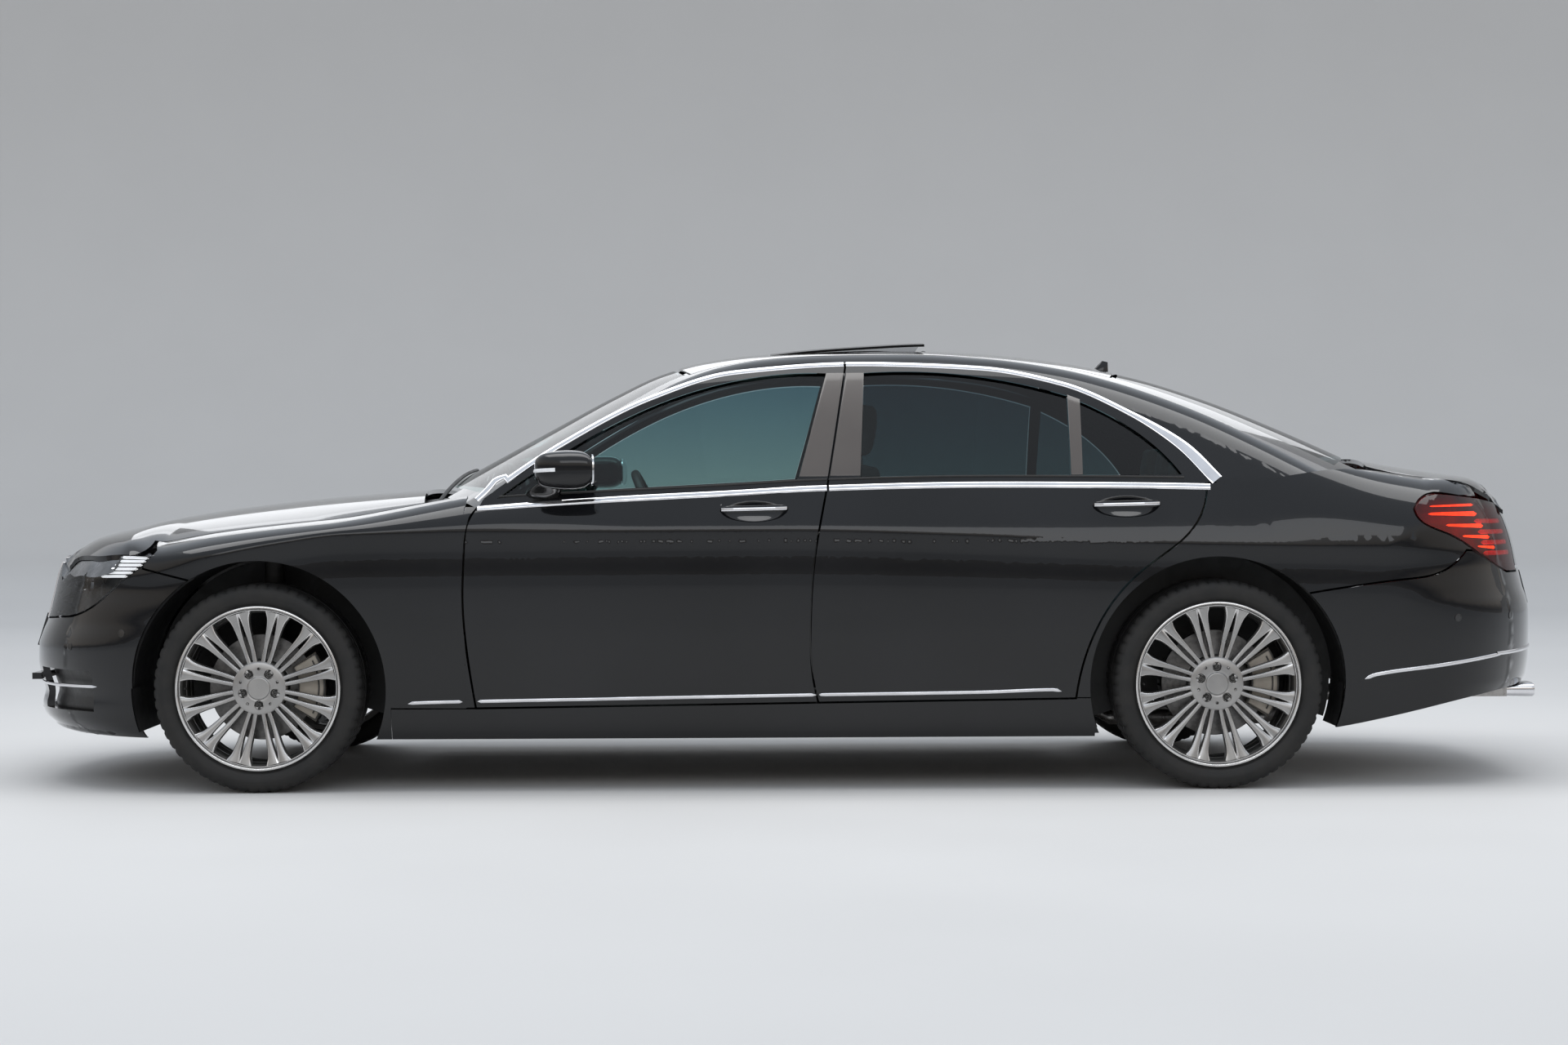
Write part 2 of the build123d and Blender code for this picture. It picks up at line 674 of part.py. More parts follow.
deck_xs = spread(1880, 2468, 13)
deck_sections = [[(y, boot_height(x, y)) for y in spread(-720, 720, 21)] for x in deck_xs]
deck = panel(stations_across(deck_xs), deck_sections, -14)
lid_back = kept(end_panel(tail_point, spread(690, 990, 13), 14, turn_to=0.55, columns=11),
                block(2300, 2700, -TAIL_LIGHT_INNER_Y, TAIL_LIGHT_INNER_Y, 721, 976))
boot_lid = kept(joined(kept(deck, plan_prism(straight((1800, -900), (2462, -900), (2462, 900), (1800, 900),
                                                      (1800, -900)))), lid_back), boot_prism(-HALF_GAP))
save(boot_lid, "boot_lid")

# cabin: one shell, split into roof, screens and body sides
CABIN_FOOT = 620
cabin_xs = spread(-1195, 2010, 21)
cabin_shell = cabin_panel(cabin_xs, CABIN_FOOT, FRAME_THICKNESS)
SUNROOF_FRONT = -45
SUNROOF_REAR = 500
SUNROOF_HALF = 430


def sunroof_prism(grow):
    corners = [(SUNROOF_FRONT, -SUNROOF_HALF), (SUNROOF_REAR, -SUNROOF_HALF), (SUNROOF_REAR, SUNROOF_HALF),
               (SUNROOF_FRONT, SUNROOF_HALF), (SUNROOF_FRONT, -SUNROOF_HALF)]
    return plan_prism(straight(*corners), grow, 1250, 1600)


roof_panel = without(kept(cabin_shell, roof_prism(-HALF_GAP)), sunroof_prism(0))
save(roof_panel, "roof_panel")

# the sunroof stands tilted, its rear edge raised
SUNROOF_RISE = 27
sunroof_slope = SUNROOF_RISE / (SUNROOF_REAR - SUNROOF_FRONT)
sunroof_xs = spread(SUNROOF_FRONT, SUNROOF_REAR, 7)
sunroof_sections = [[(y, roof_height(x, y) + sunroof_slope * (x - SUNROOF_FRONT))
                     for y in spread(-SUNROOF_HALF, SUNROOF_HALF, 9)] for x in sunroof_xs]
sunroof = kept(panel(stations_across(sunroof_xs), sunroof_sections, -8), sunroof_prism(-6))
save(sunroof, "sunroof_panel")


def screen(xs, half, outline):
    sections = [inset([(y, roof_height(x, y)) for y in spread(-half, half, 15)], -3) for x in xs]
    return kept(panel(stations_across(xs), sections, -GLASS_THICKNESS), outline)


save(screen(spread(-1200, -300, 11), 760, windscreen_prism(-PANE_GAP)), "windscreen")
save(screen(spread(1110, 2010, 11), 660, rear_screen_prism(-PANE_GAP)), "rear_window")

# body sides: sill, pillars, roof rail and rear quarter
above_belt = side_prism(straight((-1195, 985), (-1052, 950), (-1000, 930), (1400, 930), (1412, 1000),
                                 (1700, 1008), (2010, 1050), (2010, 1600), (-1195, 1600), (-1195, 985)))
openings = [windscreen_prism(0), rear_screen_prism(0), roof_prism(HALF_GAP), boot_prism(HALF_GAP),
            hood_prism(HALF_GAP), block(-1200, 2100, -505, 0, 850, 1600)]
rail_skin = without(kept(rail_panel(cabin_xs, CABIN_FOOT, SKIN), above_belt), front_door_prism(HALF_GAP),
                    rear_door_prism(HALF_GAP), *openings)
SEAL_STEP = 18
RAIL_DEPTH = 48
rail_core = without(kept(rail_panel(cabin_xs, CABIN_FOOT, RAIL_DEPTH, SKIN - 1), above_belt),
                    front_door_prism(SEAL_STEP), rear_door_prism(SEAL_STEP), *openings)
quarter = without(rolled_panel(spread(955, 2410, 16), 183, quarter_top, SKIN), rear_door_prism(HALF_GAP),
                  rear_arch, rear_bumper_prism(HALF_GAP), left_lamp, boot_prism(HALF_GAP),
                  rear_screen_prism(0))
quarter_rest = straight(DOOR_REAR[0], (1428, 1012), (1428, 1200), (2600, 1200), (2600, 500),
                        (1500, 500), (1500, 100), (1023, 100), (1023, 300), DOOR_REAR[-1])
quarter = kept(quarter, side_prism([DOOR_REAR[::-1], *quarter_rest], -HALF_GAP))
sill = without(flank_panel(spread(-1294, 1030, 11), 172, 300, 95), front_arch, rear_arch,
               front_door_prism(HALF_GAP), rear_door_prism(HALF_GAP),
               block(-1300, DOOR_FRONT[-1][0] + SHUT_GAP, -1000, -700, 273, 310))
hinge_pillar = flank_panel(spread(-1290, -1066, 5), 255, 925, 55, SKIN + 12)
post_foot = flank_panel(spread(60, 185, 4), 200, 985, 45, DOOR_THICKNESS + 24)
post_waist = block(150, 185, -794, -750, 950, 1070)
post_head = without(cabin_side(spread(150, 262, 4), 1024, 1436, 60, FRAME_THICKNESS + 8),
                    roof_prism(HALF_GAP))
body_side = joined(rail_skin, rail_core, quarter, sill, hinge_pillar, post_foot, post_waist, post_head)
save(body_side, "left_body_side")
save(mirrored(body_side), "right_body_side")

# ---------------------------------------------------------------- doors
under_belt = side_prism([[(-1100, 930), (-1002, 943), (-561, 973), (-157, 992), (113, 1006), (652, 1016),
                          (1191, 1011), (1460, 1004)],
                         *straight((1460, 1004), (1460, 150), (-1100, 150), (-1100, 930))])


INNER_STEP = 9


def door(x_from, x_to, outline, *windows):
    """A skin out to the shut line, and a body behind it that stands back from the line."""
    xs = spread(x_from, x_to, 9)
    frame_xs = spread(x_from + 20, x_to, 9)
    skin = joined(kept(flank_panel(xs, 268, 1013, SKIN), under_belt), cabin_side(frame_xs, 925, 1430, SKIN))
    body = joined(kept(flank_panel(xs, 268, 1013, DOOR_THICKNESS - SKIN + 1, SKIN - 1), under_belt),
                  cabin_side(frame_xs, 925, 1430, FRAME_THICKNESS - SKIN + 1, SKIN - 1))
    whole = joined(kept(skin, outline(-HALF_GAP)), kept(body, outline(-HALF_GAP - INNER_STEP)))
    return without(whole, *windows)


front_door = door(-1060, 225, front_door_prism, front_window_prism())
rear_door = door(85, 1440, rear_door_prism, rear_window_prism(), quarter_window_prism())
front_pane = kept(cabin_side(spread(-960, 170, 9), 940, 1420, GLASS_THICKNESS, GLASS_INSET),
                  front_window_prism(-PANE_GAP))
rear_panes = joined(kept(cabin_side(spread(240, 1340, 9), 1000, 1420, GLASS_THICKNESS, GLASS_INSET),
                         rear_window_prism(-PANE_GAP)),
                    kept(cabin_side(spread(240, 1340, 9), 1000, 1420, GLASS_THICKNESS, GLASS_INSET),
                         quarter_window_prism(-PANE_GAP)))
save(front_door, "left_front_door")
save(mirrored(front_door), "right_front_door")
save(rear_door, "left_rear_door")
save(mirrored(rear_door), "right_rear_door")
save(front_pane, "left_front_door_glass")
save(mirrored(front_pane), "right_front_door_glass")
save(rear_panes, "left_rear_door_glass")
save(mirrored(rear_panes), "right_rear_door_glass")

# door mirrors: a rounded shell on a short foot
MIRROR_FRONT = -821
MIRROR_REAR = -616
MIRROR_INNER_Y = -945
MIRROR_OUTER_Y = -1065
mirror_mid_x = (MIRROR_FRONT + MIRROR_REAR) / 2
with BuildPart() as mirror_shell:
    with BuildSketch(Plane.XZ.offset(-MIRROR_INNER_Y)):
        with Locations((mirror_mid_x, 1060)):
            RectangleRounded(MIRROR_REAR - MIRROR_FRONT, 132, 40)
    extrude(amount=MIRROR_INNER_Y - MIRROR_OUTER_Y)
    fillet(mirror_shell.edges().group_by(Axis.Y)[0], 28)
mirror_foot = block(-815, -745, -955, -888, 975, 1010)
left_mirror = without(joined(mirror_shell.part, mirror_foot), front_door)
save(left_mirror, "left_mirror")
save(mirrored(left_mirror), "right_mirror")

# ---------------------------------------------------------------- floor and bulkheads
FLOOR_Z = 190
FLOOR_THICKNESS = 22
FLOOR_FRONT = -1290
FLOOR_STEP_X = 1008
FLOOR_HALF = 770
REAR_FLOOR_HALF = 485
BOOT_FLOOR_Z = 440
WHEELHOUSE_INNER = 640
BULKHEAD_X = 1500
SHELF_Z = 985

with BuildPart() as floor_pan:
    # cabin floor with its tunnel
    floor_top = FLOOR_Z + FLOOR_THICKNESS
    with BuildSketch(Plane.YZ.offset(FLOOR_FRONT)):
        Polygon((-FLOOR_HALF, FLOOR_Z), (-FLOOR_HALF, floor_top), (-165, floor_top),
                (-130, 400), (130, 400), (165, floor_top), (FLOOR_HALF, floor_top),
                (FLOOR_HALF, FLOOR_Z), (143, FLOOR_Z), (108, 378), (-108, 378), (-143, FLOOR_Z),
                align=None)
    extrude(amount=FLOOR_STEP_X - FLOOR_FRONT)
    # rear floor, stepped up over the axle
    with BuildSketch(Plane.XZ):
        Polygon((FLOOR_STEP_X, FLOOR_Z), (FLOOR_STEP_X, 400), (1090, 462), (2300, 462),
                (2300, BOOT_FLOOR_Z), (1105, BOOT_FLOOR_Z), (FLOOR_STEP_X + 22, 385),
                (FLOOR_STEP_X + 22, FLOOR_Z), align=None)
    extrude(amount=REAR_FLOOR_HALF, both=True)
    # way through the step for the exhaust
    with BuildSketch(Plane.YZ.offset(FLOOR_STEP_X)):
        Polygon((-150, FLOOR_Z), (-120, 345), (120, 345), (150, FLOOR_Z), align=None)
    extrude(amount=FLOOR_THICKNESS, mode=Mode.SUBTRACT)
    # boot floor beside it, behind the wheels
    with BuildSketch(Plane.XY.offset(BOOT_FLOOR_Z)):
        with Locations((2095, 0)):
            Rectangle(410, 1500)
    extrude(amount=FLOOR_THICKNESS)
    # bulkheads ahead of and behind the cabin
    with BuildSketch(Plane.YZ.offset(FLOOR_FRONT)):
        Polygon((-FLOOR_HALF, floor_top), (-FLOOR_HALF, 895), (FLOOR_HALF, 895), (FLOOR_HALF, floor_top),
                (165, floor_top), (130, 400), (-130, 400), (-165, floor_top), align=None)
    extrude(amount=FLOOR_THICKNESS)
    with BuildSketch(Plane.YZ.offset(BULKHEAD_X)):
        Polygon((-REAR_FLOOR_HALF, 462), (-REAR_FLOOR_HALF, 800), (-700, 800), (-700, SHELF_Z + 15),
                (700, SHELF_Z + 15), (700, 800), (REAR_FLOOR_HALF, 800), (REAR_FLOOR_HALF, 462), align=None)
    extrude(amount=12)
    # parcel shelf
    with BuildSketch(Plane.XY.offset(SHELF_Z)):
        with Locations(((BULKHEAD_X + 1960) / 2, 0)):
            Rectangle(1960 - BULKHEAD_X, 1400)
    extrude(amount=15)
    # jacking pads
    with BuildSketch(Plane.XY.offset(JACKING_Z)):
        with Locations(*[(x, y) for x in JACKING_X for y in (-JACKING_Y, JACKING_Y)]):
            Rectangle(JACKING_PAD, JACKING_PAD)
    extrude(amount=FLOOR_Z - JACKING_Z)
save(floor_pan.part, "floor_pan")

# cowl under the rear edge of the hood and the foot of the windscreen
COWL_DEPTH = 34
cowl_xs = spread(-1262, -990, 5)
cowl_sections = [[(y, hood_height(x, y) - COWL_DEPTH) for y in spread(-760, 760, 11)] for x in cowl_xs]
screen_corner = block(-1112, -980, -800, -500, 800, 1100)
cowl = without(panel(stations_across(cowl_xs), cowl_sections, -5), screen_corner, mirrored(screen_corner))
save(cowl, "cowl")

# wheelhouses: a half shell over each wheel, the rear ones with an inner wall
LINER_OUTER_Y = 878
LINER_WALL = 6
LINER_IN = ARCH_RADIUS + 2
LINER_OUT = LINER_IN + LINER_WALL
with BuildPart() as left_liners:
    for axle_x, inner_y in ((FRONT_AXLE_X, -490), (REAR_AXLE_X, -WHEELHOUSE_INNER)):
        with BuildSketch(Plane.XZ.offset(-inner_y)):
            with BuildLine():
                CenterArc((axle_x, WHEEL_CENTRE_Z), LINER_IN, 0, 180)
                CenterArc((axle_x, WHEEL_CENTRE_Z), LINER_OUT, 0, 180)
                for side in (-1, 1):
                    Line((axle_x + side * LINER_IN, WHEEL_CENTRE_Z),
                         (axle_x + side * LINER_OUT, WHEEL_CENTRE_Z))
            make_face()
        extrude(amount=LINER_OUTER_Y + inner_y)
    with BuildSketch(Plane.XZ.offset(WHEELHOUSE_INNER - LINER_WALL)):
        with BuildLine():
            CenterArc((REAR_AXLE_X, WHEEL_CENTRE_Z), LINER_OUT, 0, 180)
            Line((REAR_AXLE_X - LINER_OUT, WHEEL_CENTRE_Z), (REAR_AXLE_X + LINER_OUT, WHEEL_CENTRE_Z))
        make_face()
        with Locations((REAR_AXLE_X, WHEEL_CENTRE_Z)):
            Circle(150, mode=Mode.SUBTRACT)
    extrude(amount=LINER_WALL)
bumper_corner = block(-2200, -1950, -900, -828, 300, 760)
left_wheelhouses = without(left_liners.part, bumper_corner)
save(left_wheelhouses, "left_wheelhouses")
save(mirrored(left_wheelhouses), "right_wheelhouses")

# ---------------------------------------------------------------- running gear
STUB_RADIUS = 30
HUB_BORE = 30.3


def wheel_plane(axle_x, hub_y, side):
    """A plane whose x runs outwards along the axle and whose y runs up."""
    return Plane(origin=(axle_x, side * hub_y, WHEEL_CENTRE_Z), x_dir=(0, side, 0), z_dir=(side, 0, 0))


def wheel_solid(axle_x, hub_y, side, section):
    """A solid of revolution about the axle; each point of the section is (outwards, radius)."""
    plane = wheel_plane(axle_x, hub_y, side)
    with BuildPart() as ring:
        with BuildSketch(plane):
            with BuildLine():
                for edge in section:
                    if len(edge) > 2:
                        Spline(*edge)
                    else:
                        Line(*edge)
            make_face()
        revolve(axis=Axis(plane.origin, plane.x_dir))
    return ring.part


def tyre(axle_x, hub_y, side, width):
    half = width / 2
    bead = RIM_RADIUS - 14
    heel = [(half - 22.3, bead), (half - 22.3, RIM_RADIUS + 2)]
    outer = [heel[-1], (half - 0.5, bead + 47), (half - 10, bead + 78)]
    tread = [(half - 10, bead + 78), (half - 27, TYRE_RADIUS - 0.5), (half - 60, TYRE_RADIUS)]
    inner = [(half - 30, bead), (half - 22, bead + 48), (half - 40, TYRE_RADIUS - 16)]
    edges = [heel, outer, tread, [tread[-1], (-tread[-1][0], TYRE_RADIUS)],
             [(-a, r) for a, r in tread[::-1]], [(-a, r) for a, r in outer[::-1]],
             [(-a, r) for a, r in heel[::-1]],
             [(-heel[0][0], bead), (-inner[0][0], bead)],
             [(-a, r) for a, r in inner], [(-inner[-1][0], TYRE_RADIUS - 16), inner[-1]],
             inner[::-1], [inner[0], heel[0]]]
    return wheel_solid(axle_x, hub_y, side, edges)


SPOKES = 12
SPOKE_DISC_IN = 52
SPOKE_DISC_OUT = 90
FLANGE_WIDTH = 9
BARREL_THICKNESS = 8


def wheel(axle_x, hub_y, side, width):
    """Rim, spoked disc and brake disc, with a bore for the stub axle."""
    half = width / 2 - 13
    seat = RIM_RADIUS - 14.3
    inside = seat - BARREL_THICKNESS
    flange = half - FLANGE_WIDTH
    rim = wheel_solid(axle_x, hub_y, side, straight(
        (-half, inside), (half, inside), (half, RIM_RADIUS), (flange, RIM_RADIUS), (flange, seat),
        (-flange, seat), (-flange, RIM_RADIUS), (-half, RIM_RADIUS), (-half, inside)))
    disc = wheel_solid(axle_x, hub_y, side, straight(
        (SPOKE_DISC_IN, HUB_BORE), (70, HUB_BORE), (70, 0), (88, 0), (88, 76), (SPOKE_DISC_OUT, inside + 1),
        (SPOKE_DISC_IN + 8, inside + 1), (SPOKE_DISC_IN - 6, 80), (SPOKE_DISC_IN, HUB_BORE)))
    brake = wheel_solid(axle_x, hub_y, side, straight(
        (-20, 100), (-20, 174), (12, 174), (12, 90), (SPOKE_DISC_IN, 84), (SPOKE_DISC_IN, HUB_BORE),
        (SPOKE_DISC_IN - 8, HUB_BORE), (SPOKE_DISC_IN - 8, 74), (4, 80), (4, 100), (-20, 100)))
    face = Plane(origin=(axle_x, side * (hub_y + 20), WHEEL_CENTRE_Z), x_dir=(1, 0, 0), z_dir=(0, side, 0))
    with BuildPart() as spoked:
        add(disc)
        with BuildSketch(face):
            with PolarLocations(0, SPOKES, start_angle=15):
                Polygon((96, -9), (236, -42), (240, 0), (236, 42), (96, 9), align=None)
        extrude(amount=110, mode=Mode.SUBTRACT)
    return joined(rim, spoked.part, brake)


CALIPER_IN = 122
CALIPER_OUT = 212
CALIPER_WIDTH = 92
CALIPER_ANGLE = 32


def caliper(axle_x, hub_y, side):
    """A block over the rear edge of the brake disc, open where the disc runs."""
    near = side * (hub_y - 54)
    with BuildPart() as body:
        with BuildSketch(Plane.XZ.offset(-near)):
            with BuildLine():
                CenterArc((axle_x, WHEEL_CENTRE_Z), CALIPER_OUT, -CALIPER_ANGLE, 2 * CALIPER_ANGLE)
                CenterArc((axle_x, WHEEL_CENTRE_Z), CALIPER_IN, -CALIPER_ANGLE, 2 * CALIPER_ANGLE)
                for angle in (-CALIPER_ANGLE, CALIPER_ANGLE):
                    east = math.cos(math.radians(angle))
                    north = math.sin(math.radians(angle))
                    Line((axle_x + CALIPER_IN * east, WHEEL_CENTRE_Z + CALIPER_IN * north),
                         (axle_x + CALIPER_OUT * east, WHEEL_CENTRE_Z + CALIPER_OUT * north))
            make_face()
        extrude(amount=-side * CALIPER_WIDTH)
    slot = wheel_solid(axle_x, hub_y, side, straight((-25, 60), (-25, 180), (17, 180), (17, 60), (-25, 60)))
    return without(body.part, slot)


def front_knuckle(side):
    stub = rod((FRONT_AXLE_X, side * 660, WHEEL_CENTRE_Z),
               (FRONT_AXLE_X, side * (FRONT_TRACK_HALF + 68), WHEEL_CENTRE_Z), STUB_RADIUS)
    upright = block(FRONT_AXLE_X - 42, FRONT_AXLE_X + 42, min(side * 652, side * 686),
                    max(side * 652, side * 686), 235, 455)
    bracket = block(FRONT_AXLE_X + 30, FRONT_AXLE_X + 150, min(side * 652, side * 680),
                    max(side * 652, side * 680), 300, 390)
    bridge = block(FRONT_AXLE_X + 128, FRONT_AXLE_X + 150, min(side * 652, side * 770),
                   max(side * 652, side * 770), 300, 390)
    return joined(stub, upright, bracket, bridge, caliper(FRONT_AXLE_X, FRONT_TRACK_HALF, side))


for side, hand in ((-1, "left"), (1, "right")):
    save(front_knuckle(side), f"{hand}_knuckle")
    for axle_x, hub_y, width, end in ((FRONT_AXLE_X, FRONT_TRACK_HALF, FRONT_TYRE_WIDTH, "front"),
                                      (REAR_AXLE_X, REAR_TRACK_HALF, REAR_TYRE_WIDTH, "rear")):
        save(tyre(axle_x, hub_y, side, width), f"{hand}_{end}_tyre")
        save(wheel(axle_x, hub_y, side, width), f"{hand}_{end}_wheel")

# front subframe: cross member, lower arms and struts
with BuildPart() as front_subframe:
    with BuildSketch(Plane.XY.offset(190)):
        with Locations((FRONT_AXLE_X, 0)):
            Rectangle(250, 840)
    extrude(amount=70)
    for side in (-1, 1):
        add(rod((FRONT_AXLE_X - 90, side * 410, 225), (FRONT_AXLE_X - 15, side * 612, 240), 16))
        add(rod((FRONT_AXLE_X + 90, side * 410, 225), (FRONT_AXLE_X + 15, side * 612, 240), 16))
        add(rod((FRONT_AXLE_X, side * 560, 215), (FRONT_AXLE_X, side * 560, 758), 34))
        add(block(FRONT_AXLE_X - 60, FRONT_AXLE_X + 60, side * 560 - 40, side * 560 + 40, 205, 262))
save(front_subframe.part, "front_subframe")

# rear axle: cross member, final drive, arms, hub carriers with stubs and calipers
with BuildPart() as rear_axle:
    with BuildSketch(Plane.XY.offset(228)):
        with Locations((REAR_AXLE_X, 0)):
            Rectangle(200, 860)
    extrude(amount=62)
    with BuildSketch(Plane.XY.offset(270)):
        with Locations((REAR_AXLE_X, 0)):
            Rectangle(180, 260)
    extrude(amount=160)
    for side in (-1, 1):
        add(rod((REAR_AXLE_X, side * 120, WHEEL_CENTRE_Z), (REAR_AXLE_X, side * 665, WHEEL_CENTRE_Z), 18))
        add(rod((REAR_AXLE_X - 70, side * 415, 260), (REAR_AXLE_X - 30, side * 655, 285), 15))
        add(rod((REAR_AXLE_X + 70, side * 415, 260), (REAR_AXLE_X + 30, side * 655, 285), 15))
        add(block(REAR_AXLE_X - 55, REAR_AXLE_X + 150, min(side * 645, side * 667),
                  max(side * 645, side * 667), 260, 430))
        add(block(REAR_AXLE_X + 128, REAR_AXLE_X + 150, min(side * 645, side * 775),
                  max(side * 645, side * 775), 300, 390))
        add(rod((REAR_AXLE_X, side * 660, WHEEL_CENTRE_Z),
                (REAR_AXLE_X, side * (REAR_TRACK_HALF + 68), WHEEL_CENTRE_Z), STUB_RADIUS))
        add(caliper(REAR_AXLE_X, REAR_TRACK_HALF, side))
save(rear_axle.part, "rear_axle")

# engine and gearbox as plain blocks, and the radiator behind the grille
with BuildPart() as engine:
    with BuildSketch(Plane.XY.offset(300)):
        with Locations((-1745, 0)):
            RectangleRounded(620, 560, 40)
    extrude(amount=540)
    fillet(engine.edges().group_by(Axis.Z)[-1], 30)
save(engine.part, "engine")
with BuildPart() as radiator:
    with BuildSketch(Plane.XY.offset(280)):
        with Locations((-2340, 0)):
            Rectangle(60, 820)
    extrude(amount=500)
save(radiator.part, "radiator")

# exhaust: two pipes through the tunnel to a silencer under the boot
with BuildPart() as exhaust:
    for side in (-1, 1):
        route = [(-1250, side * 48, 290), (980, side * 48, 290), (1160, side * 210, 182),
                 (1700, side * 210, 182), (2060, side * 300, 330)]
        for start, end in zip(route, route[1:]):
            add(rod(start, end, 26))
        for joint in route[1:-1]:
            with Locations(joint):
                Sphere(26)
        with BuildSketch(Plane.XY.offset(272)):
            with Locations((2190, side * 400)):
                RectangleRounded(280, 380, 60)
        extrude(amount=128)
        add(block(2320, 2470, side * 500 - 70, side * 500 + 70, 275, 315))
save(exhaust.part, "exhaust")

# ---------------------------------------------------------------- cabin fittings
WHEEL_HUB = (-430, -380, 880)
COLUMN_TILT = 25
COLUMN_AXIS = Vector(math.cos(math.radians(COLUMN_TILT)), 0, math.sin(math.radians(COLUMN_TILT)))


def along_column(distance):
    return tuple(Vector(*WHEEL_HUB) - COLUMN_AXIS * distance)


DASH_HALF = 730
with BuildPart() as dashboard:
    with BuildSketch(Plane.XZ):
        Polygon((-1235, 520), (-1235, 870), (-985, 870), (-985, 950), (-800, 955), (-700, 930), (-680, 860),
                (-720, 770), (-770, 640), (-860, 520), align=None)
    extrude(amount=DASH_HALF, both=True)
    # column shroud
    add(rod(along_column(252), along_column(400), 46))
    # centre console
    with BuildSketch(Plane.XY.offset(402)):
        with Locations((-340, 0)):
            Rectangle(960, 240)
    extrude(amount=190)
save(dashboard.part, "dashboard")

SEAT_Y = 385
with BuildPart() as front_seats:
    for side in (-1, 1):
        for section, half in (
                ([(-320, 390), (-335, 520), (-300, 560), (90, 530), (200, 980), (225, 1100), (320, 1100),
                  (345, 1060), (262, 560), (235, 400)], 250),
                ([(-250, 214), (-250, 392), (180, 402), (180, 214)], 200),
                ([(230, 1098), (215, 1180), (250, 1290), (320, 1290), (325, 1180), (300, 1098)], 130)):
            with BuildSketch(Plane.XZ.offset(side * SEAT_Y)):
                Polygon(*section, align=None)
            extrude(amount=half, both=True)
save(front_seats.part, "front_seats")

with BuildPart() as rear_seat:
    with BuildSketch(Plane.XZ):
        Polygon((765, 430), (765, 575), (800, 605), (1210, 560), (1330, 960), (1430, 985), (1440, 930),
                (1395, 540), (1340, 468), (1100, 468), (1000, 430), align=None)
    extrude(amount=620, both=True)
    for side in (-1, 1):
        add(block(820, 985, side * 375 - 190, side * 375 + 190, 214, 432))
    for y in (-400, 0, 400):
        with BuildSketch(Plane.XZ.offset(-y)):
            Polygon((1345, 960), (1345, 1120), (1375, 1150), (1425, 1140), (1430, 980), align=None)
        extrude(amount=120, both=True)
save(rear_seat.part, "rear_seat")

WHEEL_RIM_RADIUS = 185
WHEEL_RIM_TUBE = 15
wheel_face = Plane(origin=WHEEL_HUB, x_dir=(0, 1, 0), z_dir=COLUMN_AXIS)
with BuildPart() as steering_wheel:
    with BuildSketch(Plane(origin=wheel_face.from_local_coords((WHEEL_RIM_RADIUS, 0, 0)),
                           x_dir=wheel_face.x_dir, z_dir=wheel_face.y_dir)):
        Circle(WHEEL_RIM_TUBE)
    revolve(axis=Axis(wheel_face.origin, wheel_face.z_dir))
    with BuildSketch(wheel_face.offset(-30)):
        Circle(70)
    extrude(amount=40)
    with BuildSketch(wheel_face.offset(-14)):
        Rectangle(2 * WHEEL_RIM_RADIUS, 60)
        with Locations((0, -WHEEL_RIM_RADIUS / 2)):
            Rectangle(50, WHEEL_RIM_RADIUS)
    extrude(amount=16)
    add(rod(along_column(28), along_column(246), 20))
save(steering_wheel.part, "steering_wheel")
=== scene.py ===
import bmesh
import bpy
import json
import math
import numpy as np
from mathutils import Matrix, Vector


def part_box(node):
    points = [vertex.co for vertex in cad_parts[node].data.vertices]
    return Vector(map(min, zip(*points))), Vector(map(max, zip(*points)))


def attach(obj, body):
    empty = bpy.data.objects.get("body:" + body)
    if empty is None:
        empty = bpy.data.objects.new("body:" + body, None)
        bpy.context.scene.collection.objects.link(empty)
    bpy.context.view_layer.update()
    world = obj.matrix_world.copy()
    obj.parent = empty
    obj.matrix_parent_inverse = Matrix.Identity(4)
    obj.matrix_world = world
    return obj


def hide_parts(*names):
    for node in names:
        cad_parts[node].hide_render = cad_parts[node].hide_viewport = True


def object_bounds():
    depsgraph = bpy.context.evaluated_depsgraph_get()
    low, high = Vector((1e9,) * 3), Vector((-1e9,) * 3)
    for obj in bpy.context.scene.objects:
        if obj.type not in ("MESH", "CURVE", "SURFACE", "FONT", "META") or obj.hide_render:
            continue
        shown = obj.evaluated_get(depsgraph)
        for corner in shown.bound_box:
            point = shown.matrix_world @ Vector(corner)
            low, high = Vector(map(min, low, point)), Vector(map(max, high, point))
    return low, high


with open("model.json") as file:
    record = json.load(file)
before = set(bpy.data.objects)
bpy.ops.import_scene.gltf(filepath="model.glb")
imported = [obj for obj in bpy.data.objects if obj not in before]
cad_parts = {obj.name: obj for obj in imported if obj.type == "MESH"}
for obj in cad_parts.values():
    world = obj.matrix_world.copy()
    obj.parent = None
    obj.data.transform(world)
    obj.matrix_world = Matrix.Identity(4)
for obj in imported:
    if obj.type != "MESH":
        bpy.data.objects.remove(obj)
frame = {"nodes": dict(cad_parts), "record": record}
CAD_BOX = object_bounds()
NODES = frame["nodes"]
MM = 0.001

# ================================================================ body shape, in millimetres
NOSE_SWEEP = 700
TAIL_SWEEP = 600
BODY_HALF_WIDTH = 949.5
PLAN_POWER = 2.4
CORNER_POWER = 4
CORNER_X = -2150
CREASE_TOP = 855
CREASE_FOOT = 400
BELT_Z = 1015
BELT_INSET = 64
PANEL_HALF = 720
SHOULDER_ROOT = 1.9
RAIL_ROUND = 78


